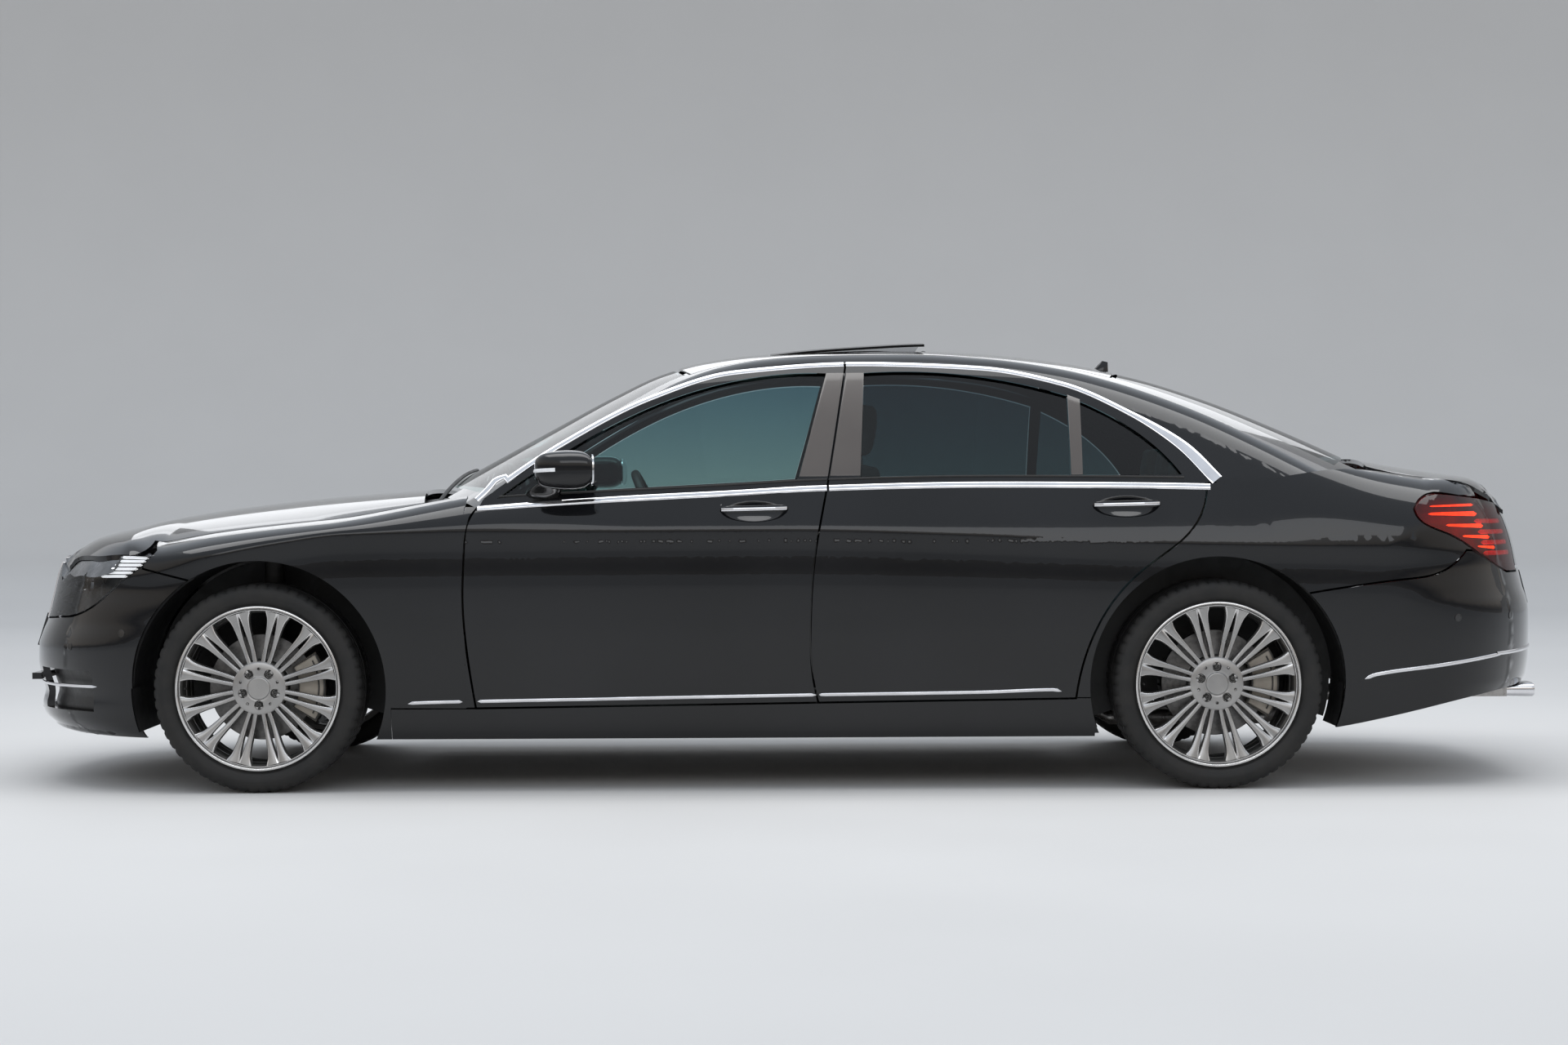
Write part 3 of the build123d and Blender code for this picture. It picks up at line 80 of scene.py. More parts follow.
def curve(points):
    """A smooth curve through (input, output) points, for numbers or arrays."""
    xs = np.array([point[0] for point in points], float)
    ys = np.array([point[1] for point in points], float)
    steps = np.diff(ys) / np.diff(xs)
    slopes = np.empty(len(xs))
    slopes[0], slopes[-1] = steps[0], steps[-1]
    product = steps[:-1] * steps[1:]
    total = np.where(steps[:-1] + steps[1:] == 0, 1, steps[:-1] + steps[1:])
    slopes[1:-1] = np.where(product <= 0, 0, 2 * product / total)

    def value(x):
        x = np.asarray(x, float)
        i = np.clip(np.searchsorted(xs, x, side="right") - 1, 0, len(xs) - 2)
        span = xs[i + 1] - xs[i]
        u = (x - xs[i]) / span
        v = np.clip(u, 0, 1)
        ends = ys[i] * (1 + 2 * v) * (1 - v) ** 2 + ys[i + 1] * v * v * (3 - 2 * v)
        inside = ends + span * v * (1 - v) * (slopes[i] * (1 - v) - slopes[i + 1] * v)
        low = slopes[0] * np.minimum(x - xs[0], 0)
        high = slopes[-1] * np.maximum(x - xs[-1], 0)
        return inside + low + high

    return value


def fade(x, start, end):
    """0 before start, 1 after end, smooth between."""
    u = np.clip((x - start) / (end - start), 0, 1)
    return u * u * (3 - 2 * u)


hood_z = curve([(-2545, 720), (-2523, 758), (-2470, 800), (-2396, 840), (-2287, 866), (-2082, 912),
                (-1787, 952), (-1493, 980), (-1214, 999), (-1000, 1010)])
roof_z = curve([(-1400, 896), (-1214, 997), (-1000, 1113), (-800, 1221), (-600, 1327), (-430, 1405),
                (-280, 1446), (-100, 1470), (150, 1483), (400, 1485), (700, 1471), (1000, 1437),
                (1250, 1386), (1500, 1308), (1750, 1208), (2000, 1097), (2200, 1005)])
nose_x = curve([(150, -2400), (178, -2510), (204, -2572), (240, -2606), (271, -2613), (314, -2603),
                (356, -2614), (412, -2623), (468, -2620), (511, -2606), (560, -2585), (646, -2562),
                (737, -2538), (800, -2505), (860, -2470)])
tail_x = curve([(170, 2560), (287, 2582), (346, 2614), (417, 2622), (500, 2623), (557, 2622),
                (599, 2616), (647, 2600), (718, 2583), (819, 2560), (897, 2531), (984, 2473),
                (1020, 2440)])
flank_section = curve([(165, 0.915), (200, 0.932), (290, 0.953), (400, 0.971), (550, 0.989),
                       (700, 0.996), (780, 0.9945), (855, 1.0)])
crease_z = curve([(-2600, 700), (-2105, 725), (-1900, 775), (-1650, 825), (-1441, 852), (-1000, 858),
                  (0, 860), (600, 842), (1130, 815), (1700, 800), (2300, 780), (2600, 770)])
hood_edge_y = curve([(-2450, 560), (-2250, 650), (-2100, 700), (-1900, 735), (-1600, 762),
                     (-1300, 775), (-1100, 780), (-900, 785)])
boot_edge_y = curve([(1500, 770), (1760, 745), (2000, 722), (2300, 690), (2500, 660)])
boot_z = curve([(1760, 1119), (1971, 1097), (2145, 1067), (2289, 1044), (2405, 1028), (2440, 1014),
                (2473, 984)])


def end_sweep(y, depth):
    share = np.minimum(np.abs(y) / BODY_HALF_WIDTH, 0.9995)
    return depth * (1 - (1 - share ** PLAN_POWER) ** (1 / PLAN_POWER))


def hood_height(x, y):
    centre_x = x - end_sweep(y, NOSE_SWEEP)
    drop = 10 + 42 * fade(-centre_x, 1150, 1750) - 40 * fade(-x, 2060, 2200)
    return hood_z(centre_x) - drop * (y / PANEL_HALF) ** 2


def boot_height(x, y):
    return boot_z(x + end_sweep(y, TAIL_SWEEP)) - 20 * (y / PANEL_HALF) ** 2


def side_plan(x):
    return BODY_HALF_WIDTH - 8 * ((x - 300) / 1500) ** 2


def shoulder(x, z, width, top_y, top_z):
    v = np.clip((z - crease_z(x)) / (top_z - crease_z(x)), 0, 1)
    return 1 - (width - top_y) * (1 - (1 - v ** 2) ** (1 / SHOULDER_ROOT)) / width


def shoulder_share(x, z):
    """The roll of the shoulder: door, front fender and rear quarter each have their own."""
    width = side_plan(x)
    v = np.maximum((z - crease_z(x)) / (BELT_Z - crease_z(x)), 0)
    door = 1 - BELT_INSET * v ** 1.25 / width
    front = fade(-x, 450, 1150)
    rear = fade(x, 1500, 2050)
    station = np.maximum(x, CORNER_X)
    top_y = hood_edge_y(station)
    fender = shoulder(station, z, width, top_y, hood_height(station, top_y))
    station = np.minimum(x, -CORNER_X)
    top_y = boot_edge_y(station)
    quarter = shoulder(station, z, width, top_y, boot_height(station, top_y))
    share = door + (fender - door) * front + (quarter - door) * rear
    return np.where(z <= crease_z(x), 1, share)


def end_share(u):
    return (1 - (1 - np.clip(u, 0, 1)) ** PLAN_POWER) ** (1 / PLAN_POWER)


def flank(x, z):
    """Half-width of the body without its shoulder roll or the rounding of its ends."""
    crease = crease_z(x)
    level = np.minimum(z, crease)
    stretched = CREASE_FOOT + (level - CREASE_FOOT) * (CREASE_TOP - CREASE_FOOT) / (crease - CREASE_FOOT)
    return side_plan(x) * flank_section(np.where(level > CREASE_FOOT, stretched, level))


def half_width(x, z):
    x, z = np.broadcast_arrays(np.asarray(x, float), np.asarray(z, float))
    shares = (shoulder_share(x, z), end_share((x - nose_x(z)) / NOSE_SWEEP),
              end_share((tail_x(z) - x) / TAIL_SWEEP))
    lost = sum((1 - share) ** CORNER_POWER for share in shares) ** (1 / CORNER_POWER)
    return flank(x, z) * (1 - lost)


def cabin_half_width(x, z):
    height = z - BELT_Z
    lean = 0.40 * height + 0.00040 * height * height
    barrel = 0.00009 * np.maximum(height, 0) * ((x - 350) / 900) ** 2 * 1000 / 1.35
    return side_plan(x) - BELT_INSET - lean - np.minimum(barrel, 70)


def roof_height(x, y):
    share = (y / 700) ** 2
    sweep = 125 * (1 - fade(x, -350, 250)) - 140 * fade(x, 500, 1250)
    return roof_z(x - sweep * share) - 50 * share


def rail_y(x):
    low = np.full_like(x, 200.0)
    high = np.full_like(x, 940.0)
    for _ in range(28):
        y = (low + high) / 2
        inside = cabin_half_width(x, roof_height(x, y)) > y
        low = np.where(inside, y, low)
        high = np.where(inside, high, y)
    return low


# Each surface is given as a function that is zero on it and positive outside.
def body_surface(x, y, z):
    width = flank(x, z)
    beyond = np.abs(y) - half_width(x, z)
    q = np.clip(1 - np.abs(y) / width, 0, None) ** CORNER_POWER
    rolled = np.clip(q - (1 - shoulder_share(x, z)) ** CORNER_POWER, 0, None) ** (1 / CORNER_POWER)
    across = np.clip(1 - rolled, 0, None) ** PLAN_POWER
    for u in ((x - nose_x(z)) / NOSE_SWEEP, (tail_x(z) - x) / TAIL_SWEEP):
        end = (np.clip(1 - u, 0, None) ** PLAN_POWER + across - 1) * NOSE_SWEEP / PLAN_POWER
        beyond = np.where(u < 0.3, end, beyond)
    return beyond


def hood_surface(x, y, z):
    return z - hood_height(x, y)


def deck_surface(x, y, z):
    return z - boot_height(x, y)


def cabin_surface(x, y, z):
    y = np.abs(y)
    corner_y = rail_y(x)
    corner_z = roof_height(x, corner_y)
    side_end_z = corner_z - RAIL_ROUND * 0.9
    side_y = cabin_half_width(x, side_end_z)
    roof_y = corner_y - RAIL_ROUND
    a = side_y - 2 * corner_y + roof_y
    b = 2 * (corner_y - side_y)
    root = np.sqrt(np.clip(b * b - 4 * a * (side_y - y), 0, None))
    t = np.clip(np.where(np.abs(a) < 1e-6, (y - side_y) / b, (-b - root) / (2 * a)), 0, 1)
    rounded = (1 - t) ** 2 * side_end_z + 2 * t * (1 - t) * corner_z + t * t * roof_height(x, roof_y)
    over = np.where(y < roof_y, z - roof_height(x, y), z - rounded)
    return np.where((z < side_end_z) | (y > side_y), y - cabin_half_width(x, z), over)


def side_y(x, z):
    """Half-width of the car at a place on its side view."""
    x, z = np.broadcast_arrays(np.asarray(x, float), np.asarray(z, float))
    return np.where(z < BELT_Z, half_width(x, z), cabin_half_width(x, z))


def flank_surface(x, y, z):
    return np.abs(y) - side_y(x, z)


def window_surface(x, y, z):
    return np.abs(y) - cabin_half_width(x, z)


def roof_surface(x, y, z):
    return z - roof_height(x, y)


def towards(surface, points, step=0.5):
    """Distance outside a surface and the outward direction, for points in metres.

    A long step blurs creases.
    """
    x, y, z = (points / MM).T
    slopes = np.stack([
        surface(x + step, y, z) - surface(x - step, y, z),
        surface(x, y + step, z) - surface(x, y - step, z),
        surface(x, y, z + step) - surface(x, y, z - step)], axis=1) / (2 * step)
    size = np.maximum(np.linalg.norm(slopes, axis=1), 1e-6)
    return surface(x, y, z) / size * MM, slopes / size[:, None]


# ================================================================ materials
def new_material(name):
    material = bpy.data.materials.new(name)
    material.use_nodes = True
    nodes = material.node_tree.nodes
    nodes.clear()
    output = nodes.new("ShaderNodeOutputMaterial")
    return material, nodes, material.node_tree.links, output


def noise(nodes, links, scale, detail=3.0, stretch=None):
    """Noise in the piece's own coordinates; stretch draws it out along an axis."""
    place = nodes.new("ShaderNodeTexCoord")
    texture = nodes.new("ShaderNodeTexNoise")
    texture.inputs["Scale"].default_value = scale
    texture.inputs["Detail"].default_value = detail
    if stretch:
        mapping = nodes.new("ShaderNodeMapping")
        mapping.inputs["Scale"].default_value = stretch
        links.new(place.outputs["Object"], mapping.inputs["Vector"])
        links.new(mapping.outputs["Vector"], texture.inputs["Vector"])
    else:
        links.new(place.outputs["Object"], texture.inputs["Vector"])
    return texture.outputs["Fac"]


def ramp(nodes, links, source, low, high, start=0.35, end=0.65):
    blend = nodes.new("ShaderNodeValToRGB")
    for element, position, colour in zip(blend.color_ramp.elements, (start, end), (low, high)):
        element.position = position
        element.color = (*colour, 1)
    links.new(source, blend.inputs["Fac"])
    return blend.outputs["Color"]


def spread_value(nodes, links, source, low, high):
    scale = nodes.new("ShaderNodeMapRange")
    for socket, value in zip(("From Min", "From Max", "To Min", "To Max"), (0.3, 0.7, low, high)):
        scale.inputs[socket].default_value = value
    links.new(source, scale.inputs["Value"])
    return scale.outputs["Result"]


def grey(level):
    return level, level, level


def coating(name, low, high, rough, scale=8.0, detail=3.0, metal=0.0, coat=0.0, coat_rough=0.03,
            coat_ior=1.5, bump=0.0, bump_scale=200.0, stretch=None, specular=0.5, sheen=0.0, glow=0.0):
    """A principled surface whose colour, roughness and fine relief all vary with noise."""
    material, nodes, links, output = new_material(name)
    shader = nodes.new("ShaderNodeBsdfPrincipled")
    for socket, value in (("Metallic", metal), ("Coat Weight", coat), ("Coat Roughness", coat_rough),
                          ("Coat IOR", coat_ior), ("Specular IOR Level", specular), ("Sheen Weight", sheen)):
        shader.inputs[socket].default_value = value
    pattern = noise(nodes, links, scale, detail, stretch)
    colour = ramp(nodes, links, pattern, low, high)
    links.new(colour, shader.inputs["Base Color"])
    if glow:
        links.new(colour, shader.inputs["Emission Color"])
        shader.inputs["Emission Strength"].default_value = glow
    links.new(spread_value(nodes, links, pattern, *rough), shader.inputs["Roughness"])
    if bump:
        relief = nodes.new("ShaderNodeBump")
        relief.inputs["Strength"].default_value = bump
        relief.inputs["Distance"].default_value = 0.0006
        links.new(noise(nodes, links, bump_scale, 4.0, stretch), relief.inputs["Height"])
        links.new(relief.outputs["Normal"], shader.inputs["Normal"])
    links.new(shader.outputs["BSDF"], output.inputs["Surface"])
    return material


def glass(name, tint_low, tint_high, height_low, height_high, gloss=0.03):
    """Thin glass: a tint that lets light through, under a clear reflection."""
    material, nodes, links, output = new_material(name)
    place = nodes.new("ShaderNodeTexCoord")
    split = nodes.new("ShaderNodeSeparateXYZ")
    links.new(place.outputs["Object"], split.inputs["Vector"])
    level = nodes.new("ShaderNodeMapRange")
    level.inputs["From Min"].default_value = height_low
    level.inputs["From Max"].default_value = height_high
    links.new(split.outputs["Z"], level.inputs["Value"])
    tint = ramp(nodes, links, level.outputs["Result"], tint_low, tint_high, 0, 1)
    through = nodes.new("ShaderNodeBsdfTransparent")
    links.new(tint, through.inputs["Color"])
    mirror = nodes.new("ShaderNodeBsdfGlossy")
    mirror.inputs["Roughness"].default_value = gloss
    fresnel = nodes.new("ShaderNodeFresnel")
    fresnel.inputs["IOR"].default_value = 1.5
    mix = nodes.new("ShaderNodeMixShader")
    links.new(fresnel.outputs["Fac"], mix.inputs["Fac"])
    links.new(through.outputs["BSDF"], mix.inputs[1])
    links.new(mirror.outputs["BSDF"], mix.inputs[2])
    links.new(mix.outputs["Shader"], output.inputs["Surface"])
    return material


PAINT = coating("black_paint", (0.0035, 0.0038, 0.0045), (0.0060, 0.0064, 0.0076), (0.10, 0.16), scale=2.0,
    coat=1.0, coat_rough=0.015, bump=0.03, bump_scale=900, specular=0.1, coat_ior=1.42)
CHROME = coating("polished_trim", (0.72, 0.72, 0.74), (0.82, 0.82, 0.84), (0.06, 0.12), scale=14, metal=1.0,
    bump=0.04, bump_scale=300)
PILLAR = coating("pillar_film", (0.066, 0.056, 0.050), (0.076, 0.065, 0.058), (0.22, 0.26), scale=3,
    coat=0.6, coat_rough=0.12, bump=0.05, bump_scale=500)
GLOSS_BLACK = coating("gloss_black", grey(0.006), grey(0.012), (0.12, 0.2), scale=6, coat=0.6, bump=0.03,
    bump_scale=300)
PLASTIC = coating("grained_plastic", grey(0.012), grey(0.022), (0.45, 0.62), scale=30, bump=0.4,
    bump_scale=900)
RUBBER = coating("tyre_rubber", grey(0.011), (0.022, 0.021, 0.020), (0.55, 0.75), scale=18, bump=0.35,
    bump_scale=700, specular=0.35)
ALLOY = coating("wheel_alloy", (0.30, 0.295, 0.29), (0.38, 0.372, 0.362), (0.26, 0.36), scale=10, metal=0.85,
    coat=0.35, coat_rough=0.15, bump=0.06, bump_scale=800)
# painted highlight: a lighter alloy on the arms' chamfers and the rim's lips stands in for the bright edges
# where light catches the wheel
ALLOY_HIGHLIGHT = coating("wheel_edge", (0.60, 0.59, 0.58), (0.70, 0.69, 0.68), (0.16, 0.24), scale=12, metal=1.0,
    bump=0.04, bump_scale=500)
# painted shade: the rim's barrel is coloured dark for the shade inside the wheel
BARREL_SHADE = coating("wheel_barrel", (0.10, 0.098, 0.095), (0.15, 0.147, 0.142), (0.35, 0.5), scale=9, metal=0.7,
    bump=0.1, bump_scale=400)
STEEL = coating("brake_steel", (0.34, 0.33, 0.32), (0.46, 0.45, 0.44), (0.25, 0.4), scale=60, metal=1.0,
    bump=0.1, bump_scale=500)
CALIPER = coating("caliper_coat", (0.36, 0.32, 0.27), (0.45, 0.41, 0.35), (0.35, 0.5), scale=20, bump=0.2,
    bump_scale=500)
CAST = coating("cast_metal", (0.045, 0.044, 0.042), (0.085, 0.082, 0.078), (0.5, 0.7), scale=25, metal=0.4,
    bump=0.6, bump_scale=350)
ALUMINIUM = coating("engine_cover", grey(0.30), grey(0.40), (0.35, 0.5), scale=20, metal=0.9, bump=0.3,
    bump_scale=400)
STRUCTURE = coating("painted_structure", (0.018, 0.018, 0.020), (0.032, 0.032, 0.034), (0.4, 0.55), scale=12,
    bump=0.3, bump_scale=250)
LEATHER = coating("seat_leather", (0.40, 0.345, 0.28), (0.50, 0.44, 0.365), (0.38, 0.52), scale=16, bump=0.7,
    bump_scale=420, sheen=0.1)
DARK_LEATHER = coating("dark_leather", (0.030, 0.025, 0.022), (0.048, 0.041, 0.036), (0.4, 0.55), scale=16,
    bump=0.7, bump_scale=420)
CARPET = coating("carpet", (0.05, 0.045, 0.04), (0.085, 0.076, 0.068), (0.85, 0.95), scale=300, detail=6,
    bump=1.0, bump_scale=900, sheen=0.3)
HEADLINER = coating("headliner", (0.52, 0.49, 0.45), (0.60, 0.57, 0.52), (0.8, 0.9), scale=200, detail=5,
    bump=0.6, bump_scale=900, sheen=0.2)
WOOD = coating("dark_wood", (0.030, 0.014, 0.008), (0.085, 0.042, 0.020), (0.12, 0.2), scale=5, detail=8,
    coat=0.8, stretch=(1.0, 8.0, 8.0), bump=0.05)
SCREEN = coating("screen_glass", (0.004, 0.005, 0.007), (0.008, 0.010, 0.014), (0.06, 0.1), scale=4, coat=1.0)
REFLECTOR = coating("lamp_reflector", (0.70, 0.71, 0.73), (0.82, 0.83, 0.85), (0.08, 0.2), scale=40,
    metal=1.0, bump=0.1, bump_scale=200)
LAMP_BLACK = coating("lamp_housing", (0.015, 0.016, 0.018), (0.03, 0.031, 0.034), (0.25, 0.4), scale=20,
    bump=0.2, bump_scale=300)
WINDSCREEN_GLASS = glass("screen_tint", (0.62, 0.74, 0.72), (0.45, 0.60, 0.62), 1.0, 1.42)
FRONT_GLASS = glass("front_glass_tint", (0.46, 0.62, 0.60), (0.26, 0.42, 0.47), 0.97, 1.40)
REAR_GLASS = glass("rear_glass_tint", (0.16, 0.24, 0.25), (0.08, 0.14, 0.17), 0.97, 1.40)
ROOF_GLASS = glass("roof_glass_tint", (0.10, 0.12, 0.13), (0.07, 0.09, 0.10), 1.3, 1.6)
LENS = glass("clear_lens", (0.90, 0.92, 0.93), (0.94, 0.95, 0.96), 0.5, 0.9, gloss=0.015)
RED_LENS = glass("red_lens", (0.70, 0.070, 0.040), (0.62, 0.050, 0.035), 0.70, 0.97, gloss=0.015)

LAMP_RED = coating("lamp_red", (0.16, 0.004, 0.004), (0.24, 0.008, 0.006), (0.3, 0.45), scale=30, bump=0.4,
    bump_scale=260)
LAMP_AMBER = coating("lamp_amber", (0.95, 0.40, 0.06), (1.0, 0.55, 0.10), (0.2, 0.3), scale=60, bump=0.5,
    bump_scale=400, glow=2.2)
LAMP_GLOW = coating("lamp_stripe", (0.80, 0.05, 0.03), (0.95, 0.09, 0.05), (0.2, 0.3), scale=60, bump=0.5,
    bump_scale=400, glow=0.25)
LAMP_WHITE = coating("lamp_white", (0.85, 0.86, 0.88), (0.95, 0.96, 0.98), (0.1, 0.2), scale=60, bump=0.4,
    bump_scale=400, glow=0.55)
# painted shade: the brake disc's steel is coloured dark for the shade it lies in behind the spokes
BRAKE_SHADE = coating("brake_disc_steel", (0.10, 0.098, 0.096), (0.17, 0.166, 0.162), (0.3, 0.45), scale=60,
    metal=0.9, bump=0.1, bump_scale=500)
LAMP_BEZEL = coating("lamp_bezel", (0.10, 0.105, 0.11), (0.20, 0.205, 0.215), (0.18, 0.3), scale=18,
    metal=0.6, bump=0.3, bump_scale=120)
LAMP_CLEAR = coating("lamp_clear", (0.80, 0.82, 0.84), (0.92, 0.93, 0.95), (0.06, 0.12), scale=60, coat=1.0,
    bump=0.3, bump_scale=500)
LAMP_GLASS = coating("projector_glass", (0.10, 0.11, 0.13), (0.16, 0.17, 0.20), (0.02, 0.05), scale=20,
    coat=1.0, specular=0.8)
MIRROR_FACE = coating("mirror_face", (0.70, 0.72, 0.74), (0.76, 0.78, 0.80), (0.02, 0.04), scale=6, metal=1.0)
GRILLE_MESH = coating("grille_mesh", grey(0.008), grey(0.016), (0.35, 0.5), scale=40, bump=1.0,
    bump_scale=180)
PLATE = coating("blank_plate", (0.74, 0.74, 0.72), (0.80, 0.80, 0.78), (0.3, 0.45), scale=20, bump=0.1,
    bump_scale=300)


# ================================================================ mesh helpers
def place(name, mesh, body, *materials):
    piece = bpy.data.objects.new(name, mesh)
    bpy.context.scene.collection.objects.link(piece)
    for material in materials:
        if material.name not in [slot.name for slot in mesh.materials if slot]:
            mesh.materials.append(material)
    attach(piece, body)
    return piece


def from_bmesh(name, shape, body, *materials, smooth=35):
    mesh = bpy.data.meshes.new(name)
    bmesh.ops.recalc_face_normals(shape, faces=shape.faces)
    for vert in shape.verts:
        vert.co = np.clip(vert.co, *CAD_BOX)
    shape.to_mesh(mesh)
    shape.free()
    mesh.shade_smooth()
    mesh.set_sharp_from_angle(angle=math.radians(smooth))
    return place(name, mesh, body, *materials)


def grid_mesh(rows, closed_rows=False, closed_columns=False, caps=False, skins=None, into=None):
    """Rows of points in metres, all the same length, as faces; skins gives each row its material."""
    shape = into or bmesh.new()
    verts = [[shape.verts.new(point) for point in row] for row in rows]
    count, length = len(rows), len(rows[0])
    for i in range(count if closed_rows else count - 1):
        a, b = verts[i], verts[(i + 1) % count]
        for j in range(length if closed_columns else length - 1):
            face = shape.faces.new((a[j], a[(j + 1) % length], b[(j + 1) % length], b[j]))
            face.material_index = skins[i] if skins else 0
    if caps and closed_rows:
        shape.faces.new([row[0] for row in verts])
        shape.faces.new([row[-1] for row in reversed(verts)])
    elif caps:
        shape.faces.new(verts[0])
        shape.faces.new(verts[-1][::-1])
    return shape


def sheet(name, body, rows, *materials, smooth=35, **closing):
    """A piece made of one grid of points; smooth is the sharpest angle left smooth, in degrees."""
    return from_bmesh(name, grid_mesh(rows, **closing), body, *materials, smooth=smooth)


def round_angles(count):
    return np.linspace(0, 2 * math.pi, count, endpoint=False)


def rings_about(aim, centre, profile, count):
    """Rings turned about a line of aim, in metres; each point of the profile is (outwards, radius) in mm."""
    axis = Vector(aim).normalized()
    side = axis.cross(Vector((0, 0, 1))).normalized()
    up = side.cross(axis)
    return [[Vector(centre) + (axis * out + (side * math.cos(t) + up * math.sin(t)) * radius) * MM
             for t in round_angles(count)] for out, radius in profile]


def squared(turns, power):
    """The two coordinates, each from -1 to 1, of points round a soft-cornered square."""
    return [np.sign(part) * np.abs(part) ** power for part in (np.cos(turns), np.sin(turns))]


def mirror_piece(piece, name, body):
    """The same piece on the other side of the car."""
    mesh = piece.data.copy()
    normals = np.empty(len(mesh.loops) * 3, np.float32)
    mesh.corner_normals.foreach_get("vector", normals)
    normals = normals.reshape(-1, 3) * (1, -1, 1)
    starts = np.empty(len(mesh.polygons), int)
    sizes = np.empty(len(mesh.polygons), int)
    mesh.polygons.foreach_get("loop_start", starts)
    mesh.polygons.foreach_get("loop_total", sizes)
    order = np.arange(len(mesh.loops))
    for start, size in zip(starts, sizes):
        order[start + 1:start + size] = order[start + 1:start + size][::-1]
    mesh.transform(Matrix.Scale(-1, 4, (0, 1, 0)))
    mesh.flip_normals()
    mesh.normals_split_custom_set(normals[order].astype(float).tolist())
    return place(name, mesh, body, *piece.data.materials)


def pair(name, body, make, *values, **options):
    """Makes a left piece, and its fellow for the right; a door's body changes hands with it."""
    piece = make(f"left_{name}", body, *values, **options)
    return piece, mirror_piece(piece, f"right_{name}", body.replace("left", "right"))


# ================================================================ painted skins
OUTER_REACH = 0.004
CREASE_BLUR = 8.0
PANEL_SPACING = 0.035
CREASE_SPACING = 0.014
CREASE_BAND = (-70, 26)
BOWL_SPACING = 0.009


def crease_spacing(edge):
    """Edges near the flank's crease are kept short."""
    middle = (edge.verts[0].co + edge.verts[1].co) / (2 * MM)
    above = middle.z - float(crease_z(middle.x))
    return CREASE_SPACING if CREASE_BAND[0] < above < CREASE_BAND[1] else PANEL_SPACING


def skin(node, surfaces, offset=0.0, inner=None, shape_it=None, finer=None, only_outer=False,
         reach=OUTER_REACH):
    """The CAD panel again, with a finer outer face that lies on the true surface and shades as it does."""
    shape = bmesh.new()
    shape.from_mesh(NODES[node].data)
    bmesh.ops.remove_doubles(shape, verts=shape.verts, dist=1e-5)
    bmesh.ops.triangulate(shape, faces=[f for f in shape.faces if len(f.verts) > 3])
    outer = shape.faces.layers.int.new("outer")

    def best(points):
        """Of the surfaces given, the one nearest to each point."""
        found = [towards(surface, points) for surface in surfaces]
        away = np.array([f[0] + offset for f in found])
        pick = np.abs(away).argmin(0)
        rows = np.arange(len(points))
        return away[pick, rows], np.array([f[1] for f in found])[pick, rows]

    shape.verts.ensure_lookup_table()
    shape.verts.index_update()
    points = np.array([v.co for v in shape.verts])
    away, _ = best(points)
    faces = list(shape.faces)
    centres = np.array([f.calc_center_median() for f in faces])
    _, face_out = best(centres)
    facing = (np.array([f.normal for f in faces]) * face_out).sum(1)
    for face, turn in zip(faces, facing):
        near = all(abs(away[v.index]) < reach for v in face.verts)
        if near and turn > 0.6:
            face[outer] = 1
        elif turn < -0.35:
            face[outer] = 2
    for _ in range(9):
        long_edges = [e for e in shape.edges if any(f[outer] == 1 for f in e.link_faces)
                      and e.calc_length() > (finer(e) if finer else PANEL_SPACING)]
        if not long_edges:
            break
        bmesh.ops.subdivide_edges(shape, edges=long_edges, cuts=1, use_grid_fill=False)
        bmesh.ops.triangulate(shape, faces=[f for f in shape.faces if len(f.verts) > 3],
                              quad_method="SHORT_EDGE")
    if only_outer:
        bmesh.ops.delete(shape, geom=[f for f in shape.faces if f[outer] != 1], context="FACES")
    on_skin = [v for v in shape.verts if any(f[outer] == 1 for f in v.link_faces)]
    points = np.array([v.co for v in on_skin])
    for _ in range(2):
        away, out = best(points)
        points = points - out * np.where(np.abs(away) < OUTER_REACH, away, 0)[:, None]
    soft = [towards(surface, points, CREASE_BLUR) for surface in surfaces]
    pick = np.abs([s[0] + offset for s in soft]).argmin(0)
    out = np.array([s[1] for s in soft])[pick, np.arange(len(points))]
    if shape_it:
        points, out = shape_it(points, out)
    points = np.clip(points, *CAD_BOX)
    for vert, point in zip(on_skin, points):
        vert.co = point
    shape.normal_update()
    shape.verts.index_update()
    normal_of = {vert.index: Vector(direction) for vert, direction in zip(on_skin, out)}
    mesh = bpy.data.meshes.new(node + "_skin")
    normals = []
    for face in shape.faces:
        face.smooth = True
        face.material_index = 1 if face[outer] == 2 and inner else 0
        for vert in face.verts:
            if face[outer] == 1:
                normals.append(normal_of[vert.index])
                continue
            total = Vector()
            for other in vert.link_faces:
                if other[outer] != 1 and other.normal.dot(face.normal) > 0.8:
                    total += other.normal * other.calc_area()
            normals.append(total.normalized() if total.length > 0 else face.normal)
    shape.to_mesh(mesh)
    shape.free()
    mesh.normals_split_custom_set(normals)
    return mesh


def painted(node, surfaces, body, inner=None, paint=None, **options):
    mesh = skin(node, surfaces, inner=inner, **options)
    materials = [paint or PAINT] + ([inner] if inner else [])
    mesh.materials.clear()
    piece = place(node + "_panel", mesh, body, *materials)
    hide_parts(node)
    return piece


BODY_OF = {node: body for body, nodes in frame["record"]["behaviour"]["bodies"].items() for node in nodes}

# door handle bowls, pressed into the door skins: centre x and z, half-lengths, depth
BOWLS = {"front_door": (-93, 921, 112, 38, 15), "rear_door": (1133, 931, 112, 38, 15)}


